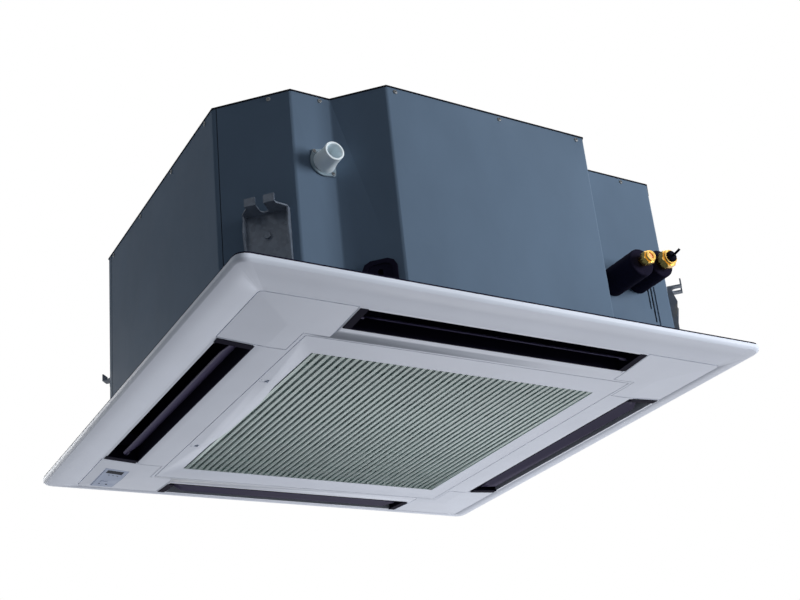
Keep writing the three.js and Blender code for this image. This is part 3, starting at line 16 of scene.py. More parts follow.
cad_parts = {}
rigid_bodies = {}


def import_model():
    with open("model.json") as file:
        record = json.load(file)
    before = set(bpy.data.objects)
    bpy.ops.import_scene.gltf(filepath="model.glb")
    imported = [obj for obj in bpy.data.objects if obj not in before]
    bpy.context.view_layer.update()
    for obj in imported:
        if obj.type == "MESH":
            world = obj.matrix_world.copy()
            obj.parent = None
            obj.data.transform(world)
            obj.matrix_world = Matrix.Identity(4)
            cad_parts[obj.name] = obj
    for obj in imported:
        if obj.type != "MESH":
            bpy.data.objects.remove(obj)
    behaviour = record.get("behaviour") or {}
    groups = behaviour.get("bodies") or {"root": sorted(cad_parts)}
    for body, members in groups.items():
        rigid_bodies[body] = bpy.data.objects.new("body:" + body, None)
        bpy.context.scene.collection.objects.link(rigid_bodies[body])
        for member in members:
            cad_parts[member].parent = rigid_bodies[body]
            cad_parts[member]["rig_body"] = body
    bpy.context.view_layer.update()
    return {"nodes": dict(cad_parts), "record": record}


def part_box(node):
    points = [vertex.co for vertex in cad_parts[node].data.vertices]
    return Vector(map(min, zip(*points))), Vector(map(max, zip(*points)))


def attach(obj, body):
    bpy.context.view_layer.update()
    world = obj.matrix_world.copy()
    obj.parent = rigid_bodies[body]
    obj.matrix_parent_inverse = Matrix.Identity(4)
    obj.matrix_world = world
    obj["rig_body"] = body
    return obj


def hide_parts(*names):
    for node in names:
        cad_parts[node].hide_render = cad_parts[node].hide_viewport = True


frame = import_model()
nodes = frame["nodes"]
MM = 0.001

# %% [markdown]
# ## Camera
# The photograph looks up at the panel from beyond one corner. Its upright edges stay nearly
# parallel, which a plain tilted camera can't give, so the lens is shifted a little upwards.
# The three axes of the camera are written as unit vectors: image right, image down and into
# the picture.

# %% camera
FOCAL_PIXELS = 1254.2
IMAGE_WIDTH = 800
SENSOR = 36.0
PRINCIPAL_DROP = 85
camera_data = bpy.data.cameras.new("photo_camera")
camera_data.lens = FOCAL_PIXELS * SENSOR / IMAGE_WIDTH
camera_data.sensor_width = SENSOR
camera_data.shift_y = PRINCIPAL_DROP / IMAGE_WIDTH
camera = bpy.data.objects.new("photo_camera", camera_data)
bpy.context.scene.collection.objects.link(camera)
CAMERA_PLACE = (-1.0751, -1.7963, -0.7777)
image_right = Vector((0.86379, -0.49479, -0.09512))
image_down = Vector((0.11423, 0.37619, -0.91947))
look = Vector((0.49073, 0.78337, 0.38147))
axes = Matrix((image_right, -image_down, -look)).transposed()
camera.matrix_world = Matrix.Translation(CAMERA_PLACE) @ axes.to_4x4()
bpy.context.scene.camera = camera
print("lens", round(camera_data.lens, 2), "mm, shift", camera_data.shift_y)

# %% [markdown]
# ## Helpers for shapes
# New pieces are surfaces worked out as arrays. `new_piece` makes a mesh of them that rides on a
# body. `grid_faces` joins a grid of points into quads, and can close it round either way.
# `outward` turns the faces out, lets curves shade smoothly and keeps corners crisp.

# %% shape helpers
def new_piece(name, points, faces, body="root"):
    """A mesh object in the CAD frame, riding on a body."""
    mesh = bpy.data.meshes.new(name)
    mesh.from_pydata(points.tolist(), [], faces.tolist() if hasattr(faces, "tolist") else faces)
    mesh.update()
    piece = bpy.data.objects.new(name, mesh)
    bpy.context.scene.collection.objects.link(piece)
    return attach(piece, body)


def grid_faces(rows, columns, close_rows=False, close_columns=True):
    """Quads between neighbours (i, j), (i, j+1), (i+1, j+1), (i+1, j) of a grid of points."""
    i = np.arange(rows if close_rows else rows - 1)[:, None]
    j = np.arange(columns if close_columns else columns - 1)[None, :]
    i2, j2 = (i + 1) % rows, (j + 1) % columns
    here, below = i * columns, i2 * columns
    quads = np.stack([here + j, here + j2, below + j2, below + j], axis=-1)
    return quads.reshape(-1, 4)


def outward(piece, smooth_angle=35):
    """Faces turned outwards, curves smooth and corners past the angle crisp."""
    work = bmesh.new()
    work.from_mesh(piece.data)
    bmesh.ops.recalc_face_normals(work, faces=work.faces)
    work.to_mesh(piece.data)
    work.free()
    piece.data.polygons.foreach_set("use_smooth", np.ones(len(piece.data.polygons), bool))
    piece.data.set_sharp_from_angle(angle=math.radians(smooth_angle))
    return piece


print("shape helpers ready")

# %% [markdown]
# ## Copies of CAD solids
# A CAD solid is a set of loose triangles, and it is never changed itself. `merged_copy` joins the
# triangles of a copy, which then stands for the node: its curves can shade smoothly while its
# folds stay crisp, and with `flatten` its flat faces become whole, so that they take a bevel.

# %% copies of CAD solids
WELD_DISTANCE = 1e-6
FLAT_ANGLE = 0.01


def merged_copy(node, smooth_angle=35, flatten=False):
    """A copy of a CAD solid with its triangles joined up, in place of the node."""
    source = nodes[node]
    work = bmesh.new()
    work.from_mesh(source.data)
    bmesh.ops.remove_doubles(work, verts=work.verts, dist=WELD_DISTANCE)
    if flatten:
        bmesh.ops.dissolve_limit(
            work, angle_limit=FLAT_ANGLE, verts=work.verts, edges=work.edges,
        )
    mesh = bpy.data.meshes.new(node + "_skin")
    work.to_mesh(mesh)
    work.free()
    mesh.polygons.foreach_set("use_smooth", np.ones(len(mesh.polygons), bool))
    mesh.set_sharp_from_angle(angle=math.radians(smooth_angle))
    piece = bpy.data.objects.new(node + "_skin", mesh)
    bpy.context.scene.collection.objects.link(piece)
    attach(piece, source["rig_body"])
    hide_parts(node)
    return piece


print("solids can be copied")

# %% [markdown]
# ## Helpers for finishes
# Every finish starts from one shader. A soft noise moves the colour a little, as on moulded or
# rolled stock, and a finer noise raises the surface by a few hundredths of a millimetre. All
# patterns read Object coordinates, which are metres here, so their size is real.

# %% finish helpers
class Finish:
    """A procedural material: a shader with a small set of pattern nodes."""

    def __init__(self, name, roughness, metallic=0.0, **constants):
        self.material = bpy.data.materials.new(name)
        self.material.use_nodes = True
        self.tree = self.material.node_tree
        self.shader = self.tree.nodes["Principled BSDF"]
        self.shader.inputs["Roughness"].default_value = roughness
        self.shader.inputs["Metallic"].default_value = metallic
        for socket, value in constants.items():
            self.shader.inputs[socket.replace("_", " ")].default_value = value
        self.place = self.tree.nodes.new("ShaderNodeTexCoord").outputs["Object"]

    def link(self, start, end):
        self.tree.links.new(start, end)

    def noise(self, per_metre, detail=3.0, stretch=(1, 1, 1)):
        """A cloudy pattern with so many features to the metre, from 0 to 1."""
        mapping = self.tree.nodes.new("ShaderNodeMapping")
        mapping.inputs["Scale"].default_value = stretch
        self.link(self.place, mapping.inputs["Vector"])
        texture = self.tree.nodes.new("ShaderNodeTexNoise")
        texture.inputs["Scale"].default_value = per_metre
        texture.inputs["Detail"].default_value = detail
        self.link(mapping.outputs["Vector"], texture.inputs["Vector"])
        return texture.outputs["Fac"]

    def colour(self, fac, low, high, start=0.35, end=0.65):
        """Base colour runs from low to high as fac goes from start to end."""
        ramp = self.tree.nodes.new("ShaderNodeValToRGB")
        ramp.color_ramp.elements[0].position = start
        ramp.color_ramp.elements[0].color = (*low, 1)
        ramp.color_ramp.elements[1].position = end
        ramp.color_ramp.elements[1].color = (*high, 1)
        self.link(fac, ramp.inputs["Fac"])
        self.link(ramp.outputs["Color"], self.shader.inputs["Base Color"])
        return self

    def roughen(self, fac, low, high):
        """Roughness runs from low to high with fac."""
        spread = self.tree.nodes.new("ShaderNodeMapRange")
        spread.inputs["To Min"].default_value = low
        spread.inputs["To Max"].default_value = high
        self.link(fac, spread.inputs["Value"])
        self.link(spread.outputs["Result"], self.shader.inputs["Roughness"])
        return self

    def raise_by(self, fac, distance, strength=0.6):
        """Fac raises the surface by the distance."""
        bump = self.tree.nodes.new("ShaderNodeBump")
        bump.inputs["Distance"].default_value = distance
        bump.inputs["Strength"].default_value = strength
        self.link(fac, bump.inputs["Height"])
        self.link(bump.outputs["Normal"], self.shader.inputs["Normal"])
        return self


def shade(colour, factor):
    """The colour made darker or lighter by a factor."""
    return tuple(min(1.0, channel * factor) for channel in colour)


def wear(piece, finish):
    """Gives a piece one finish."""
    piece.data.materials.clear()
    piece.data.materials.append(finish.material)
    return piece


print("finish helpers ready")

# %% [markdown]
# ## Moulded plastics
# The panel and the grille are sprayed or self-coloured ABS with a very fine spark texture. The
# outlets and louvers are near black, so that their depth reads as shadow. The display unit is a
# cooler, greyer plastic with a dark window.

# %% plastics
SLOW_PER_METRE, GLOSS_PER_METRE, SPARK_PER_METRE = 9.0, 60.0, 1400.0


def moulded(name, colour, roughness, grain=0.00002, mottle=0.05, **constants):
    """Satin plastic: slow tone change, fine spark texture."""
    finish = Finish(name, roughness, **{"Specular_IOR_Level": 0.3, **constants})
    slow = finish.noise(SLOW_PER_METRE, 2.0)
    finish.colour(slow, shade(colour, 1 - mottle), shade(colour, 1 + mottle))
    fine = finish.noise(SPARK_PER_METRE, 2.0)
    finish.roughen(finish.noise(GLOSS_PER_METRE), roughness - 0.05, roughness + 0.07)
    finish.raise_by(fine, grain)
    return finish


PANEL_WHITE = (0.725, 0.775, 0.87)
GRILLE_WHITE = (0.545, 0.645, 0.63)
panel_plastic = moulded("panel_plastic", PANEL_WHITE, 0.36, mottle=0.02, Specular_IOR_Level=0.15)
grille_plastic = moulded("grille_plastic", GRILLE_WHITE, 0.45, mottle=0.02)
outlet_plastic = moulded("outlet_plastic", (0.005, 0.0045, 0.012), 0.6, Specular_IOR_Level=0.02)
louver_plastic = moulded("louver_plastic", (0.044, 0.039, 0.080), 0.4, Specular_IOR_Level=0.08)
label_plastic = moulded("label_plastic", (0.36, 0.43, 0.58), 0.38, mottle=0.03)
window_plastic = moulded(
    "window_plastic", (0.014, 0.018, 0.032), 0.15, grain=0.000002, Specular_IOR_Level=0.02,
)
white_plastic = moulded("white_plastic", (0.62, 0.66, 0.70), 0.45)
fan_plastic = moulded("fan_plastic", (0.05, 0.055, 0.065), 0.45)
filter_plastic = moulded("filter_plastic", (0.62, 0.68, 0.67), 0.7)
clear_plastic = moulded(
    "clear_plastic", (0.82, 0.91, 1.0), 0.3, Specular_IOR_Level=0.3,
    Subsurface_Weight=0.2, Subsurface_Radius=(0.9, 0.95, 1.0), Subsurface_Scale=0.002,
)
flange_plastic = moulded("flange_plastic", (0.22, 0.29, 0.34), 0.35, Specular_IOR_Level=0.25)
print("plastics made")

# %% [markdown]
# ## Sheet metal
# The casing is a coil-coated steel sheet: smooth, slightly mottled, with a broad soft gloss. The
# hooks are galvanised, where crystals of zinc show as flat spangles, so a Voronoi pattern gives
# each crystal its own tone.

# %% sheet metal
STREAKS_PER_METRE, SHEEN_PER_METRE, PEEL_PER_METRE = 9.0, 40.0, 260.0
CRYSTALS_PER_METRE = 160.0


def coated_sheet(name, colour):
    """Coil-coated steel: faint rolling streaks and an orange-peel surface."""
    finish = Finish(name, 0.55, 0.0, Specular_IOR_Level=0.012)
    streaks = finish.noise(STREAKS_PER_METRE, 4.0, stretch=(1, 1, 0.6))
    finish.colour(streaks, shade(colour, 0.94), shade(colour, 1.06), 0.3, 0.7)
    finish.roughen(finish.noise(SHEEN_PER_METRE), 0.36, 0.5)
    finish.raise_by(finish.noise(PEEL_PER_METRE, 2.0), 0.00004, 0.4)
    return finish


def galvanised(name, colour):
    """Zinc coating: flat crystals, each with its own tone, from a Voronoi pattern."""
    finish = Finish(name, 0.45, 0.15, Specular_IOR_Level=0.2)
    crystals = finish.tree.nodes.new("ShaderNodeTexVoronoi")
    crystals.inputs["Scale"].default_value = CRYSTALS_PER_METRE
    finish.link(finish.place, crystals.inputs["Vector"])
    tone = finish.tree.nodes.new("ShaderNodeSeparateColor")
    finish.link(crystals.outputs["Color"], tone.inputs["Color"])
    finish.colour(tone.outputs["Red"], shade(colour, 0.88), shade(colour, 1.1), 0.0, 1.0)
    finish.roughen(tone.outputs["Green"], 0.28, 0.5)
    return finish


casing_sheet = coated_sheet("casing_sheet", (0.115, 0.165, 0.232))
zinc_sheet = galvanised("zinc_sheet", (0.120, 0.145, 0.185))
print("sheet metals made")

# %% [markdown]
# ## Drawn metal
# Pipes, nuts, screws and the coil's fins are drawn, turned or rolled, which leaves fine lines one
# way. A noise stretched along that way gives them, and copper and brass stay warm.

# %% drawn metal
def drawn_metal(name, colour, roughness, metallic=1.0, per_metre=900.0, stretch=(1, 0.05, 1)):
    """Drawn or turned metal: fine lines along one way."""
    finish = Finish(name, roughness, metallic)
    lines = finish.noise(per_metre, 2.0, stretch)
    finish.colour(lines, shade(colour, 0.82), shade(colour, 1.12))
    finish.roughen(lines, roughness - 0.07, roughness + 0.1)
    finish.raise_by(lines, 0.00001)
    return finish


dull_steel = drawn_metal("dull_steel", (0.13, 0.14, 0.15), 0.45, metallic=0.3)
brass = drawn_metal("brass", (0.80, 0.50, 0.13), 0.22)
copper = drawn_metal("copper", (0.78, 0.33, 0.17), 0.25)
fins = drawn_metal("coil_fins", (0.62, 0.64, 0.67), 0.35, stretch=(1, 1, 0.02), per_metre=600.0)
print("drawn metals made")

# %% [markdown]
# ## Foams and rubber
# The drain pan is white foam, and the pipe sleeves and the seal are black foam, all with small
# open cells. The plug in the pipe's end is rubber. The joints between the sheets get a dark matt
# colour that is painted shade, and the lid's edge and the panel's ledges wear it too.

# %% foams and rubber
def foam(name, colour, per_metre=700.0, depth=0.0002):
    """Foam: small open cells."""
    finish = Finish(name, 0.9, Specular_IOR_Level=0.05)
    cells = finish.noise(per_metre, 2.0)
    finish.colour(cells, shade(colour, 0.8), shade(colour, 1.15))
    finish.raise_by(cells, depth)
    return finish


white_foam = foam("white_foam", (0.78, 0.78, 0.74))
black_foam = foam("black_foam", (0.009, 0.008, 0.020))
lining_foam = foam("lining_foam", (0.025, 0.026, 0.030))
black_rubber = moulded(
    "black_rubber", (0.004, 0.004, 0.008), 0.7, grain=0.00008, Specular_IOR_Level=0.02,
)
# Dark matt painted shade for the sheet joints, the lid's edge and the panel's ledges.
joint_shadow = moulded("painted_joint_shade", (0.012, 0.014, 0.020), 0.8, Specular_IOR_Level=0.02)
print("foams and rubber made")

# %% [markdown]
# ## Finishes on the CAD solids
# The record names a slot for each node. One table turns slots into finishes, so that a new node
# is never left plain.

# %% dress the nodes
SLOT_FINISH = {
    "panel": panel_plastic,
    "grille": grille_plastic,
    "black": outlet_plastic,
    "louver": louver_plastic,
    "label": label_plastic,
    "window": window_plastic,
    "casing": casing_sheet,
    "zinc": zinc_sheet,
    "foam": white_foam,
    "rubber": black_foam,
    "aluminium": fins,
    "plastic": white_plastic,
    "clear": clear_plastic,
    "copper": copper,
    "brass": brass,
    "fan": fan_plastic,
    "mesh": filter_plastic,
}
node_slot = {entry["node"]: entry["material_slot"] for entry in frame["record"]["subparts"]}
for node_name, slot_name in node_slot.items():
    wear(nodes[node_name], SLOT_FINISH[slot_name])
wear(nodes["foam_liner"], lining_foam)
print(len(node_slot), "nodes dressed")

# %% [markdown]
# ## Folded casing
# The body is folded from one sheet, so its upright corners are round, with a radius of a few
# millimetres. A bevel along those long upright edges alone gives them that round.

# %% casing folds
FOLD_RADIUS = 0.0028
SHORTEST_FOLD = 0.2
INSIDE_SHARE = 0.75
UPRIGHT_SHARE = 0.9
LEAST_TURN = 15


def rounded_folds(node, radius, shortest, inner_share, segments=4):
    """Copy of a sheet solid whose long upright folds are rounded: the outside of each bend by
    the radius, its inside by a share of it, so that the sheet keeps its thickness."""
    piece = merged_copy(node, flatten=True)
    work = bmesh.new()
    work.from_mesh(piece.data)
    layer = work.edges.layers.float.new("bevel_weight_edge")
    picked = 0
    for edge in work.edges:
        if len(edge.link_faces) != 2 or edge.calc_length() < shortest:
            continue
        rise = abs(edge.verts[0].co.z - edge.verts[1].co.z)
        upright = rise > UPRIGHT_SHARE * edge.calc_length()
        turn = math.degrees(edge.calc_face_angle_signed(0.0))
        if upright and abs(turn) > LEAST_TURN:
            edge[layer] = 1.0 if turn > 0 else inner_share
            picked += 1
    work.to_mesh(piece.data)
    work.free()
    bevel = piece.modifiers.new("folds", "BEVEL")
    bevel.limit_method = "WEIGHT"
    bevel.width = radius
    bevel.segments = segments
    bevel.use_clamp_overlap = False
    print(node, "folds rounded", picked)
    return piece


casing = rounded_folds("outer_casing", FOLD_RADIUS, SHORTEST_FOLD, INSIDE_SHARE)
wear(casing, casing_sheet)

# %% [markdown]
# ## Smooth copies of curved solids
# The CAD solids are faceted. Blades, bells and hoses are curved on the real unit, so a merged
# copy with smooth shading stands for each of them.

# %% smooth curved nodes
CURVE_ANGLE = 38
CURVED = {
    "fan_rotor": (fan_plastic, "fan"),
    "fan_shroud": (fan_plastic, "fan"),
    "bell_mouth": (outlet_plastic, "black"),
    "fan_motor": (zinc_sheet, "zinc"),
    "drain_hose": (clear_plastic, "clear"),
    "drain_pump": (white_plastic, "plastic"),
    "gas_pipe": (copper, "copper"),
    "float": (white_plastic, "plastic"),
    "pipe_end_plug": (black_rubber, "rubber"),
    "louver_back": (louver_plastic, "louver"),
    "louver_left": (louver_plastic, "louver"),
    "louver_front": (louver_plastic, "louver"),
    "louver_right": (louver_plastic, "louver"),
}
for node_name, (finish, slot_name) in CURVED.items():
    wear(merged_copy(node_name, smooth_angle=CURVE_ANGLE), finish)
print(len(CURVED), "curved nodes smoothed")

# %% [markdown]
# ## Drain pan
# The pan is one block of white foam. The upright walls of its four air ducts get the same near
# black as the outlets, a painted shade, so from below the slots look black all the way up.

# %% drain pan
DUCT_REACH = 0.352
UPRIGHT_NORMAL = 0.3
pan = wear(merged_copy("drain_pan", smooth_angle=30), white_foam)
# Upright duct walls far out take the outlets' near black: painted shade.
pan.data.materials.append(outlet_plastic.material)
painted_dark = 0
for face in pan.data.polygons:
    far_out = max(abs(face.center.x), abs(face.center.y)) > DUCT_REACH
    if far_out and abs(face.normal.z) < UPRIGHT_NORMAL:
        face.material_index = 1
        painted_dark += 1
print(painted_dark, "duct faces lined")

# %% [markdown]
# ## Corner covers
# A moulded cover has no sharp edge: a round of under a millimetre runs round its rim, and its
# light line beside the dark groove is what makes the cover stand out from the panel. The cover
# is also drawn in by about half a millimetre, because the groove in the photograph is that wide.

# %% corner covers
COVER_ROUND = 0.0007
COVER_SHARE = 0.991


def softened(node, radius, shrink, angle=40, segments=2):
    """Merged copy whose edges sharper than the angle get a round of the radius. In plan it is
    drawn in a little: p = centre + shrink * (p - centre)."""
    piece = merged_copy(node, flatten=True)
    low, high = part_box(node)
    centre = (np.array(low) + np.array(high)) / 2
    points = np.empty(len(piece.data.vertices) * 3)
    piece.data.vertices.foreach_get("co", points)
    points = points.reshape(-1, 3)
    points[:, :2] = centre[:2] + shrink * (points[:, :2] - centre[:2])
    piece.data.vertices.foreach_set("co", points.ravel())
    bevel = piece.modifiers.new("rim", "BEVEL")
    bevel.limit_method = "ANGLE"
    bevel.angle_limit = math.radians(angle)
    bevel.width = radius
    bevel.segments = segments
    return piece


for corner in ("back_right", "back_left", "front_left", "front_right"):
    cover = softened(f"corner_cover_{corner}", COVER_ROUND, COVER_SHARE)
    wear(cover, panel_plastic)
print("corner covers softened")

# %% [markdown]
# ## Panel
# The panel is flat in its middle, and its border rises gently towards the rim. The covers lie on
# ledges of the frame, and the groove round each cover is deep and dark. The ledges only show
# through that groove, so their undersides take the shadow's tone.

# %% panel
FLAT_REACH = 0.345
BORDER_SLOPE = 5.2 / 77
LEDGE_START, LEDGE_REACH = 0.255, 0.424
LEDGE_DEPTH = 0.0015
DOWNWARD = -0.8
frame_skin = merged_copy("panel_frame", smooth_angle=CURVE_ANGLE, flatten=True)
wear(frame_skin, panel_plastic)
frame_skin.data.materials.append(joint_shadow.material)
ledge_faces = 0
for face in frame_skin.data.polygons:
    near, far = sorted(abs(face.center.xy[k]) for k in (0, 1))
    surface = BORDER_SLOPE * max(0.0, far - FLAT_REACH)
    behind = face.center.z > surface + LEDGE_DEPTH and face.normal.z < DOWNWARD
    if near > LEDGE_START and far < LEDGE_REACH and behind:
        face.material_index = 1
        ledge_faces += 1
print(ledge_faces, "ledge faces shaded")

# %% [markdown]
# ## Grille
# The grille is one moulding, but its slatted field looks greyer and greener than its border.
# So the border keeps the panel's finish and the slats get their own. Thin ribs behind the slats
# keep the long blades from bowing.

# %% grille
SLATTED_HALF = 0.269
BORDER_FACE = 0.0003
RIB_ROWS = (-215, -108, 0, 108, 215)
grille = merged_copy("intake_grille", smooth_angle=30)
grille.data.materials.append(panel_plastic.material)
grille.data.materials.append(grille_plastic.material)
centres = np.empty(len(grille.data.polygons) * 3)
grille.data.polygons.foreach_get("center", centres)
centres = abs(centres.reshape(-1, 3))
within = (centres[:, 0] < SLATTED_HALF) & (centres[:, 1] < SLATTED_HALF)
slatted = within & (centres[:, 2] > BORDER_FACE)
grille.data.polygons.foreach_set("material_index", slatted.astype(np.int32))


def rib(name, y, half_width=0.7, low=4.2, high=8.7, reach=269.2):
    """Thin bar along x, in millimetres: the eight corners of a box."""
    corners = [
        (x, y + side * half_width, z)
        for x in (-reach, reach) for side in (-1, 1) for z in (low, high)
    ]
    faces = [(0, 1, 3, 2), (4, 6, 7, 5), (0, 4, 5, 1), (2, 3, 7, 6), (0, 2, 6, 4), (1, 5, 7, 3)]
    return outward(new_piece(name, np.array(corners) * MM, faces, "grille"), smooth_angle=30)


for k, y in enumerate(RIB_ROWS):
    wear(rib(f"grille_rib_{k}", y), grille_plastic)
print(int(slatted.sum()), "slat faces and", len(RIB_ROWS), "ribs")

# %% [markdown]
# ## Screw heads
# A pan-head screw shows a low dome with a cross pressed into it. The dome is a height over a disc,
# and the cross is where that height drops.

# %% screw heads
CROSS_HALF = 0.1
CROSS_REACH = 0.55
CROSS_DEPTH = 0.45
FOOT_DEPTH = 0.0003


def side_axes(direction):
    """The direction as a unit vector, and two more that are square to it and to each other."""
    along = Vector(direction).normalized()
    across = along.orthogonal().normalized()
    return np.array(along), np.array(across), np.array(along.cross(across))


def screw_head(name, centre, direction, radius, height):
    """Dome h(r) = height * sqrt(1 - (0.92 * r / R)^2) with a cross where |x| or |y| is small:
    h falls by the recess depth inside the cross's arms."""
    along, across, third = side_axes(direction)
    rings = np.array([0.0, 0.12, 0.24, 0.36, 0.5, 0.56, 0.7, 0.85, 1.0])
    t = np.linspace(0, 2 * np.pi, 32, endpoint=False)
    x, y = rings[:, None] * np.cos(t), rings[:, None] * np.sin(t)
    dome = np.sqrt(np.clip(1 - (rings[:, None] * 0.92) ** 2, 0, 1)) * np.ones_like(x)
    arm = (np.minimum(abs(x), abs(y)) < CROSS_HALF) & (rings[:, None] < CROSS_REACH)
    rise = height * dome - CROSS_DEPTH * height * arm
    points = (
        np.array(centre)
        + rise[..., None] * along
        + radius * (x[..., None] * across + y[..., None] * third)
    )
    foot = points[-1:] - (rise[-1:, :, None] + FOOT_DEPTH) * along
    points = np.concatenate([points, foot])
    faces = grid_faces(len(rings) + 1, len(t)).tolist()
    faces.append([len(rings) * len(t) + k for k in range(len(t))])
    return outward(new_piece(name, points.reshape(-1, 3), faces), smooth_angle=30)


print("screw heads ready")

# %% [markdown]
# ## The casing's plan
# Seen from above the casing is a square with cut corners and a stepped front. The plan lists its
# corners once, in millimetres, and each wall has a name, so that a later piece can be put on it.

# %% plan of the casing
OUTLINE = [
    (-414, -272), (-322, -364), (-254, -364), (-188, -430), (198, -430), (244, -350),
    (408, -350), (436, -322), (436, 270), (292, 414), (-245, 414), (-414, 245),
]
WALL_NAMES = [
    "front_left_corner", "socket_wall", "step_wall", "front_wall", "pipe_step", "pipe_wall",
    "front_right_corner", "right_wall", "back_right_corner", "back_wall", "back_left_corner",
    "left_wall",
]


def wall(name):
    """Start, running direction, length and outward direction of one wall, in millimetres."""
    k = WALL_NAMES.index(name)
    start, end = np.array(OUTLINE[k], float), np.array(OUTLINE[(k + 1) % len(OUTLINE)], float)
    length = np.linalg.norm(end - start)
    run = (end - start) / length
    return start, run, length, np.array([run[1], -run[0]])


print(len(OUTLINE), "walls")

# %% [markdown]
# ## Edge screws
# The lid and the walls are screwed together just under the upper edge. Each number is a screw's
# place along its wall, from 0 at the wall's start to 1 at its end.

# %% edge screws
EDGE_SCREWS = {
    "front_left_corner": [0.72],
    "socket_wall": [0.74],
    "front_wall": [0.04, 0.55, 0.96],
    "pipe_wall": [0.62],
    "right_wall": [0.06, 0.35, 0.65, 0.94],
    "back_right_corner": [0.5],
    "back_wall": [0.05, 0.35, 0.65, 0.95],
    "back_left_corner": [0.5],
    "left_wall": [0.06, 0.35, 0.65, 0.94],
}
SCREW_HEIGHT = 391
SCREW_RADIUS, SCREW_RISE = 0.0036, 0.002
count = 0
for wall_name, shares in EDGE_SCREWS.items():
    start, run, length, out = wall(wall_name)
    for share in shares:
        place = np.array([*(start + run * length * share), SCREW_HEIGHT]) * MM
        name = f"edge_screw_{count}"
        wear(screw_head(name, place, (*out, 0.0), SCREW_RADIUS, SCREW_RISE), dull_steel)
        count += 1
print(count, "edge screws")

# %% [markdown]
# ## Lid edge
# The lid's rolled edge shows as a thin dark line round the top, and its dark colour is painted
# shade. It could be a curve with a bevel, but a small section carried round the casing's plan
# gives exact mitres at the corners.

# %% lid edge
def carried_round(name, section, outline):
    """Section of (distance outwards, height) carried round a closed outline. At each corner
    the section stands on the mitre: out = (n1 + n2) / (1 + n1 . n2)."""
    points = np.array(outline, float)
    runs = np.roll(points, -1, axis=0) - points
    runs /= np.linalg.norm(runs, axis=1)[:, None]
    normals = np.stack([runs[:, 1], -runs[:, 0]], axis=1)
    before = np.roll(normals, 1, axis=0)
    mitre = (before + normals) / (1 + (before * normals).sum(axis=1))[:, None]
    out, height = np.array(section, float).T
    plan = points[:, None, :] + out[None, :, None] * mitre[:, None, :]
    rise = np.broadcast_to(height[None, :, None], (*plan.shape[:2], 1))
    grid = np.concatenate([plan, rise], axis=-1).reshape(-1, 3) * MM
    faces = grid_faces(len(points), len(out), close_rows=True)
    return outward(new_piece(name, grid, faces), smooth_angle=25)


LID_SECTION = [
    (0.1, 397.2), (0.9, 397.6), (1.1, 398.8), (0.6, 400.2), (-1.0, 400.3), (-1.0, 397.2),
]
# The lid's edge wears the dark painted joint shade.
wear(carried_round("lid_edge", LID_SECTION, OUTLINE), joint_shadow)
print("lid edge carried round", len(OUTLINE), "walls")

# %% [markdown]
# ## Sheet joints
# The corner sheets are separate, so a joint runs down beside two of the corners. From a distance
# a joint is only a dark line of shade, and a shallow half-round ridge painted dark, a painted
# shade, is enough for it.

# %% sheet joints
def sheet_joint(name, wall_name, distance, low=33.0, high=397.0, half=0.6, depth=0.25):
    """Shallow ridge down a wall: section x = half * cos t, out = depth * sin t."""
    start, run, _, out = wall(wall_name)
    t = np.linspace(0, np.pi, 7)
    across = distance + half * np.cos(t)
    plan = start + across[:, None] * run + (depth * np.sin(t))[:, None] * out
    rows = [np.column_stack([plan, np.full(len(t), z)]) for z in (low, high)]
    points = np.concatenate(rows) * MM
    ends = [list(range(len(t))), list(range(len(t), 2 * len(t)))]
    return outward(new_piece(name, points, grid_faces(2, len(t)).tolist() + ends), smooth_angle=40)


# Each joint's ridge is painted dark, a painted shade for the gap between the sheets.
wear(sheet_joint("front_left_joint", "front_left_corner", distance=7), joint_shadow)
wear(sheet_joint("back_left_joint", "left_wall", distance=16), joint_shadow)
print("two joints made")

# %% [markdown]
# ## Washers and bolt heads
# The hooks are bolted on. `turned` spins a profile about a line, which suits anything made on a
# lathe: a washer is a rectangle turned about the bolt's axis. A head is a hexagon carried up
# three levels, of which the top one is drawn in for the chamfer.

# %% washers and bolt heads
def turned(name, profile, origin, direction, steps):
    """Profile of (radius, distance) spun about a line:
    point = origin + distance * along + radius * (cos t * across + sin t * third)."""
    radius, distance = np.array(profile, float).T
    along, across, third = side_axes(direction)
    t = np.linspace(0, 2 * np.pi, steps, endpoint=False)
    ring = np.cos(t)[:, None] * across + np.sin(t)[:, None] * third
    points = (
        np.array(origin)
        + distance[:, None, None] * along
        + radius[:, None, None] * ring[None, :, :]
    )
    faces = grid_faces(len(radius), steps, close_rows=True)
    return outward(new_piece(name, points.reshape(-1, 3), faces))


def washer(name, centre, direction, radius, thickness):
    """Flat ring: a rectangle of radius and thickness spun about its axis."""
    hole = 0.4 * radius
    profile = [(hole, 0), (radius, 0), (radius, thickness), (hole, thickness)]
    return turned(name, profile, centre, direction, 32)


def hex_head(name, centre, direction, across_flats, height):
    """Six-sided head with its top corners turned off: the radius of its prism is
    across_flats / sqrt(3), and the top ring is drawn in by about an eighth."""
    along, across, third = side_axes(direction)
    t = np.arange(6) * np.pi / 3
    ring = np.cos(t)[:, None] * across + np.sin(t)[:, None] * third
    radius = across_flats / math.sqrt(3)
    levels = [(radius, 0), (radius, 0.8 * height), (0.88 * radius, height)]
    points = np.concatenate([np.array(centre) + h * along + r * ring for r, h in levels])
    faces = grid_faces(3, 6).tolist() + [[0, 1, 2, 3, 4, 5], [12, 13, 14, 15, 16, 17]]
    return outward(new_piece(name, points, faces), smooth_angle=25)


print("washers and bolt heads ready")

# %% [markdown]
# ## Hook bolts
# Each hook is held to its corner of the casing by two bolts with washers, in the two holes of its
# plate. Their place is the foot of a line from the suspension rod square to the corner's wall.

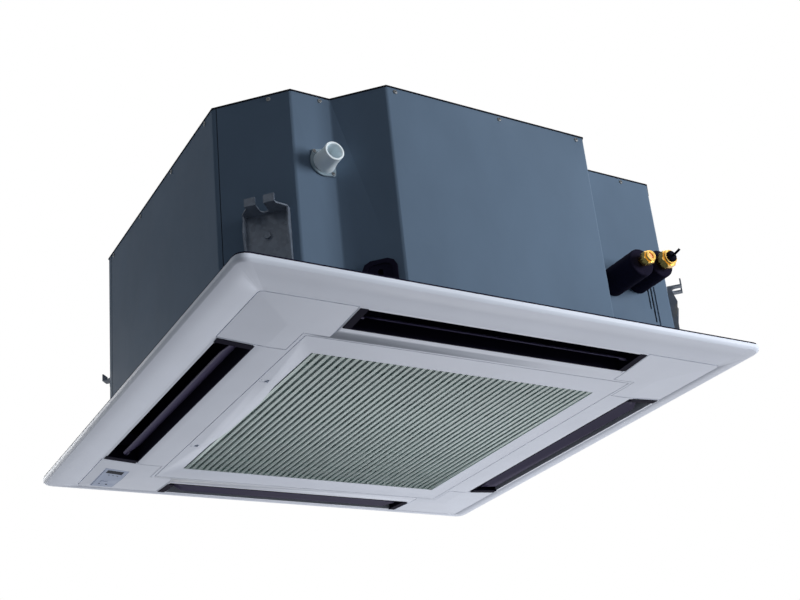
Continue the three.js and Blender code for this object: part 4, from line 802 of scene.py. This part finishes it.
# %% hook bolts
RODS = {
    "front_left_corner": (-374, -346),
    "back_right_corner": (434, 346),
    "back_left_corner": (-374, 346),
    "front_right_corner": (434, -346),
}
HOOK_FACE = 2.8
BOLT_HEIGHTS = (96, 150)
WASHER_RADIUS, WASHER_SHEET = 0.0075, 0.0006
HEAD_ACROSS, HEAD_RISE = 0.010, 0.003
for corner, rod in RODS.items():
    start, _, _, out = wall(corner)
    foot = np.array(rod) - out * np.dot(np.array(rod) - start, out) + out * HOOK_FACE
    direction = np.array([*out, 0.0])
    for height in BOLT_HEIGHTS:
        place = np.array([*foot, height]) * MM
        name = f"{corner}_washer_{height}"
        wear(washer(name, place, direction, WASHER_RADIUS, WASHER_SHEET), zinc_sheet)
        seat = place + direction * WASHER_SHEET
        name = f"{corner}_bolt_{height}"
        wear(hex_head(name, seat, direction, HEAD_ACROSS, HEAD_RISE), zinc_sheet)
print(len(RODS) * len(BOLT_HEIGHTS), "hook bolts")

# %% [markdown]
# ## Drain socket
# The condensate leaves through a spigot of milky plastic. Its tube is a body of revolution, a cone
# and a tube with a thin lip, so a turned profile is the plainest way to make it.

# %% drain socket
SOCKET_X, SOCKET_Z, SOCKET_WALL = -274, 276, -364.3
TUBE_PROFILE = [
    (12.5, -18), (12.5, 37.2), (13.3, 38), (15.2, 38), (16, 37.2), (16, 19), (17.2, 11),
    (18.6, 4), (18.6, 1), (16, 0), (16, -18),
]
socket = turned(
    "drain_socket_tube",
    np.array(TUBE_PROFILE) * MM,
    np.array([SOCKET_X, SOCKET_WALL, SOCKET_Z]) * MM,
    (0, -1, 0),
    steps=64,
)
wear(socket, clear_plastic)
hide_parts("drain_socket")
print("socket turned")

# %% [markdown]
# ## Socket flange
# The tube stands on a flat flange that swells into an ear at each of its two screws. Its outline
# is a circle with two smooth bumps, and rings of that outline make its rounded edge.

# %% socket flange
EARS = [(-16, 17), (14, -17.5)]
EAR_RISE, EAR_SPREAD = 3.6, 0.2
TUBE_SEAT = 17.0
FLANGE_SHEET = 3
EAR_SCREW = {"radius": 0.0032, "height": 0.0016}


def socket_flange(name, radius=23.5, limit=19.4, thickness=FLANGE_SHEET, steps=96):
    """Flat flange with an ear at each screw. Its outline is the circle of the radius, raised
    round each ear by rise * exp(-(angle / spread)^2) and kept off the step beside it by
    limit / cos(angle). Each ring of the section is that outline, drawn in or out."""
    angle = np.linspace(0, 2 * np.pi, steps, endpoint=False)
    outline = np.full(steps, radius)
    for dx, dz in EARS:
        away = np.angle(np.exp(1j * (angle - math.atan2(dz, dx))))
        outline += EAR_RISE * np.exp(-(away / EAR_SPREAD) ** 2)
    outline = np.minimum(outline, limit / np.maximum(np.cos(angle), 0.05))
    section = [(-1.0, 0.0), (0.0, 0.5), (0.0, thickness - 0.6), (-0.6, thickness)]
    rings = [(outline + grow, depth) for grow, depth in section]
    rings += [(np.full(steps, TUBE_SEAT), depth) for depth in (thickness, 0.0)]
    points = np.concatenate([
        np.column_stack([
            SOCKET_X + reach * np.cos(angle),
            np.full(steps, SOCKET_WALL - depth),
            SOCKET_Z + reach * np.sin(angle),
        ])
        for reach, depth in rings
    ])
    faces = grid_faces(len(rings), steps, close_rows=True)
    return outward(new_piece(name, points * MM, faces), smooth_angle=30)


flange = socket_flange("drain_socket_flange")
wear(flange, flange_plastic)
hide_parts("drain_socket")
for k, (dx, dz) in enumerate(EARS):
    seat = np.array([SOCKET_X + dx, SOCKET_WALL - FLANGE_SHEET, SOCKET_Z + dz]) * MM
    wear(screw_head(f"drain_socket_screw_{k}", seat, (0, -1, 0), **EAR_SCREW), dull_steel)
print("flange and", len(EARS), "screws")

# %% [markdown]
# ## Pipe sleeves
# The copper pipes wear thick black foam sleeves with soft ends. A sleeve is turned from a profile
# whose outer corner is a quarter circle.

# %% pipe sleeves
PIPE_WALL_Y = -350.3
SLEEVE_RADIUS, SLEEVE_ROUND = 25, 3
LIQUID_PLACE, LIQUID_BORE, LIQUID_END = (280, 173), 5.3, -431
GAS_PLACE, GAS_BORE, GAS_END = (338, 188), 8.3, -418


def pipe_sleeve(name, node, place, bore, outer_end):
    """Tube with a rounded outer rim: a quarter circle there, of the round's radius."""
    x, z = place
    length = PIPE_WALL_Y - outer_end
    a = np.linspace(0, math.pi / 2, 6)
    rim = np.column_stack([
        SLEEVE_RADIUS - SLEEVE_ROUND + SLEEVE_ROUND * np.cos(a),
        length - SLEEVE_ROUND + SLEEVE_ROUND * np.sin(a),
    ])
    profile = [(bore, 0), (SLEEVE_RADIUS, 0), *rim, (bore + 1.5, length), (bore, length - 1)]
    origin = np.array([x, PIPE_WALL_Y, z]) * MM
    sleeve = turned(name, np.array(profile) * MM, origin, (0, -1, 0), steps=64)
    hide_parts(node)
    return wear(sleeve, black_foam)


pipe_sleeve("liquid_sleeve", "liquid_pipe_sleeve", LIQUID_PLACE, LIQUID_BORE, LIQUID_END)
pipe_sleeve("gas_sleeve", "gas_pipe_sleeve", GAS_PLACE, GAS_BORE, GAS_END)
print("pipes sleeved")

# %% [markdown]
# ## Flare nuts
# The nuts are brass hexagons with chamfered corners, and a round collar in front. A turned profile
# has one radius all round, so here each ring has its own: a hexagon cut back by a cone.

# %% flare nuts
def flare_nut(name, node, place, across_flats, bore, sleeve_end):
    """Hexagon whose corners are cut by a cone:
    r(t) = min(flat / cos((t + 30) mod 60 - 30), cone), with t in degrees."""
    x, z = place
    t = np.linspace(0, 2 * np.pi, 96, endpoint=False)
    flat = across_flats / 2
    hexagon = flat / np.cos((t + np.pi / 6) % (np.pi / 3) - np.pi / 6)
    full = np.ones_like(t)
    stations = [
        (full * bore, 0.5), (full * (flat - 2.5), 0.5), (full * (flat - 2.5), 8),
        (np.minimum(hexagon, flat * 1.02), 8), (np.minimum(hexagon, flat * 1.15), 9.2),
        (np.minimum(hexagon, flat * 1.15), 18.8), (np.minimum(hexagon, flat * 1.02), 20),
        (full * (flat - 1.5), 20), (full * (flat - 1.5), 24.2), (full * (flat - 2.3), 25),
        (full * (bore + 1), 25), (full * bore, 23.5),
    ]
    radius = np.array([r for r, _ in stations])
    distance = np.array([d for _, d in stations])
    along, across, third = side_axes((0, -1, 0))
    ring = np.cos(t)[:, None] * across + np.sin(t)[:, None] * third
    points = (
        np.array([x, sleeve_end, z])
        + distance[:, None, None] * along
        + radius[:, :, None] * ring[None, :, :]
    )
    faces = grid_faces(len(stations), len(t), close_rows=True)
    nut = outward(new_piece(name, points.reshape(-1, 3) * MM, faces), smooth_angle=28)
    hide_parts(node)
    return wear(nut, brass)


LIQUID_FLATS, GAS_FLATS = 22, 29
flare_nut("liquid_nut", "liquid_flare_nut", LIQUID_PLACE, LIQUID_FLATS, LIQUID_BORE, LIQUID_END)
flare_nut("gas_nut", "gas_flare_nut", GAS_PLACE, GAS_FLATS, GAS_BORE, GAS_END)
print("flare nuts made")

# %% [markdown]
# ## Lid beads
# The lid is stiffened by three beads pressed into it over the motor, seen only from above. Each
# bead is a low arch carried along a straight path with round ends.

# %% lid beads
LID_TOP = 0.4
BEAD_REACH, BEAD_HALF, BEAD_RISE = 0.2, 0.010, 0.0025


def bead(name, start, end, half_width, height):
    """Arch z = height * cos(pi/2 * v) over |v| <= 1, whose width closes as a half circle at
    both ends: w(s) = sqrt(1 - max(0, (|s| - L) / W)^2)."""
    start, end = np.array(start, float), np.array(end, float)
    length = np.linalg.norm(end - start)
    run = (end - start) / length
    side = np.array([-run[1], run[0]])
    caps = np.sin(np.linspace(0, np.pi / 2, 7)) * half_width
    s = np.concatenate([-(length / 2) - caps[::-1], (length / 2) + caps])
    over = np.maximum(0, abs(s) - length / 2) / half_width
    width = half_width * np.sqrt(np.clip(1 - over ** 2, 0.0004, 1))
    v = np.linspace(-1, 1, 9)
    middle = (start + end) / 2
    plan = middle + s[:, None, None] * run + (width[:, None] * v[None, :])[..., None] * side
    rise = height * (width / half_width)[:, None] * np.cos(np.pi / 2 * v)[None, :]
    points = np.concatenate([plan, (rise + LID_TOP)[..., None]], axis=-1)
    faces = grid_faces(len(s), len(v), close_columns=False).tolist()
    index = np.arange(len(s) * len(v)).reshape(len(s), len(v))
    rim = [*index[:, 0], *index[-1, 1:], *index[-2::-1, -1], *index[0, -2:0:-1]]
    faces.append([int(k) for k in rim])
    return outward(new_piece(name, points.reshape(-1, 3), faces), smooth_angle=60)


for k, angle in enumerate(np.radians([0, 60, 120])):
    ray = np.array([math.cos(angle), math.sin(angle)])
    ends = ray * -BEAD_REACH, ray * BEAD_REACH
    lid_bead = bead(f"lid_bead_{k}", *ends, BEAD_HALF, BEAD_RISE)
    wear(lid_bead, casing_sheet)
print("lid beads pressed")

# %% [markdown]
# ## Display marks
# Below the dark window sit three small lamps, and beside the button two moulded pips. All five
# are small blocks with round corners, so one formula makes them.

# %% display marks
def pip(name, x, y, half_x, half_y):
    """Rounded block: |x/a|^4 + |y/b|^4 = 1 in plan, standing just below the sloping face."""
    t = np.linspace(0, 2 * np.pi, 24, endpoint=False)
    plan_x = np.sign(np.cos(t)) * abs(np.cos(t)) ** 0.5
    plan_y = np.sign(np.sin(t)) * abs(np.sin(t)) ** 0.5
    face = BORDER_SLOPE * (abs(x) - FLAT_REACH / MM)
    levels = [(1.0, face + 0.4), (1.0, face - 0.15), (0.85, face - 0.3)]
    points = np.concatenate([
        np.stack([x + s * half_x * plan_x, y + s * half_y * plan_y, np.full_like(t, z)], -1)
        for s, z in levels
    ])
    faces = grid_faces(3, len(t)).tolist()
    faces += [list(range(len(t))), list(range(2 * len(t), 3 * len(t)))]
    return outward(new_piece(name, points * MM, faces), smooth_angle=40)


LAMPS_AT, LAMP_STEPS, LAMP_HALF = (-377, 343), (-8, 0, 8), (1.5, 1.0)
MARKS_AT, MARK_STEPS, MARK_HALF = (-381, 394), (-7, 7), (1.6, 1.0)
for k, dx in enumerate(LAMP_STEPS):
    wear(pip(f"lamp_{k}", LAMPS_AT[0] + dx, LAMPS_AT[1], *LAMP_HALF), window_plastic)
for k, dx in enumerate(MARK_STEPS):
    wear(pip(f"mark_{k}", MARKS_AT[0] + dx, MARKS_AT[1], *MARK_HALF), window_plastic)
print(len(LAMP_STEPS), "lamps and", len(MARK_STEPS), "pips on the display")

# %% [markdown]
# ## World
# The photograph is cut out on white. So the world is white where the camera, a reflection or
# clear plastic sees it, and a soft pale blue where it lights the object. A mix of two shaders,
# driven by the kind of ray, does both.

# %% world
def seen_by_eye(tree):
    """1 for rays from the camera, a reflection or clear plastic, and 0 for bounced light."""
    paths = tree.nodes.new("ShaderNodeLightPath")
    either = tree.nodes.new("ShaderNodeMath")
    either.operation = "MAXIMUM"
    shown = tree.nodes.new("ShaderNodeMath")
    shown.operation = "MAXIMUM"
    tree.links.new(paths.outputs["Is Camera Ray"], either.inputs[0])
    tree.links.new(paths.outputs["Is Transmission Ray"], either.inputs[1])
    tree.links.new(either.outputs[0], shown.inputs[0])
    tree.links.new(paths.outputs["Is Glossy Ray"], shown.inputs[1])
    return shown.outputs[0]


def seen_or_bounced(tree, seen, bounced, output_kind):
    """Output that shows one shader to the eye and another to bounced light."""
    mix = tree.nodes.new("ShaderNodeMixShader")
    output = tree.nodes.new(output_kind)
    tree.links.new(seen_by_eye(tree), mix.inputs["Fac"])
    tree.links.new(bounced.outputs[0], mix.inputs[1])
    tree.links.new(seen.outputs[0], mix.inputs[2])
    tree.links.new(mix.outputs[0], output.inputs["Surface"])


def coloured(tree, kind, colour):
    """New shader node of a kind, with its colour."""
    shader = tree.nodes.new(kind)
    shader.inputs["Color"].default_value = (*colour, 1)
    return shader


world = bpy.data.worlds.new("studio")
bpy.context.scene.world = world
world.use_nodes = True
tree = world.node_tree
tree.nodes.clear()
soft = coloured(tree, "ShaderNodeBackground", (0.86, 0.92, 1.0))
soft.inputs["Strength"].default_value = 0.24
white = coloured(tree, "ShaderNodeBackground", (1, 1, 1))
seen_or_bounced(tree, white, soft, "ShaderNodeOutputWorld")
print("world set")

# %% [markdown]
# ## Ground
# A plain pale floor lies well below the unit and keeps its shadow. It is wide enough to reach the
# horizon in a view from above. To the eye it also glows a little, so that it stays pale far from
# the lamps, and to bounced light it is a plain grey.

# %% ground
FLOOR_HALF = 40.0
FLOOR_HEIGHT = -2.6
floor_points = np.array([(-1, -1, 0), (1, -1, 0), (1, 1, 0), (-1, 1, 0)]) * FLOOR_HALF
floor_mesh = bpy.data.meshes.new("ground")
floor_points[:, 2] = FLOOR_HEIGHT
floor_mesh.from_pydata(floor_points.tolist(), [], [(0, 1, 2, 3)])
floor = bpy.data.objects.new("ground", floor_mesh)
bpy.context.scene.collection.objects.link(floor)
ground = bpy.data.materials.new("pale_ground")
ground.use_nodes = True
ground_tree = ground.node_tree
ground_tree.nodes.clear()
pale = coloured(ground_tree, "ShaderNodeBsdfDiffuse", (0.55, 0.55, 0.55))
glow = coloured(ground_tree, "ShaderNodeEmission", (0.78, 0.78, 0.78))
seen = ground_tree.nodes.new("ShaderNodeAddShader")
ground_tree.links.new(pale.outputs[0], seen.inputs[0])
ground_tree.links.new(glow.outputs[0], seen.inputs[1])
bounced = coloured(ground_tree, "ShaderNodeBsdfDiffuse", (0.30, 0.30, 0.31))
seen_or_bounced(ground_tree, seen, bounced, "ShaderNodeOutputMaterial")
floor.data.materials.append(ground)
print("ground laid")

# %% [markdown]
# ## Lamps
# The photograph is lit softly from the front and from below, with the left walls in shade. Four
# large square lamps do this at a plain level, and their size keeps every shadow soft.

# %% lamps
def soft_lamp(name, place, target, size, power, colour=(1, 1, 1)):
    """Square area lamp at a place, turned towards a target."""
    data = bpy.data.lights.new(name, "AREA")
    data.shape = "SQUARE"
    data.size = size
    data.energy = power
    data.color = colour
    lamp = bpy.data.objects.new(name, data)
    bpy.context.scene.collection.objects.link(lamp)
    lamp.location = place
    lamp.rotation_euler = (Vector(target) - Vector(place)).to_track_quat("-Z", "Y").to_euler()


soft_lamp("key_lamp", (2.6, -3.2, 0.4), (0.1, 0, 0.15), 1.6, 150, (0.97, 0.98, 1.0))
soft_lamp("low_lamp", (1.15, 0.75, -1.6), (0, 0, 0), 1.6, 23.5, (0.98, 0.97, 1.0))
soft_lamp("top_lamp", (0.5, 0.5, 3.4), (0, 0, 0.3), 2.5, 70)
soft_lamp("back_lamp", (-1.0, 4.0, 0.6), (0, 0, 0.2), 2.5, 60)
print("lamps placed")

# %% [markdown]
# ## Close
# The colours are shown with the Standard view transform.

# %% finish
bpy.context.scene.view_settings.view_transform = "Standard"
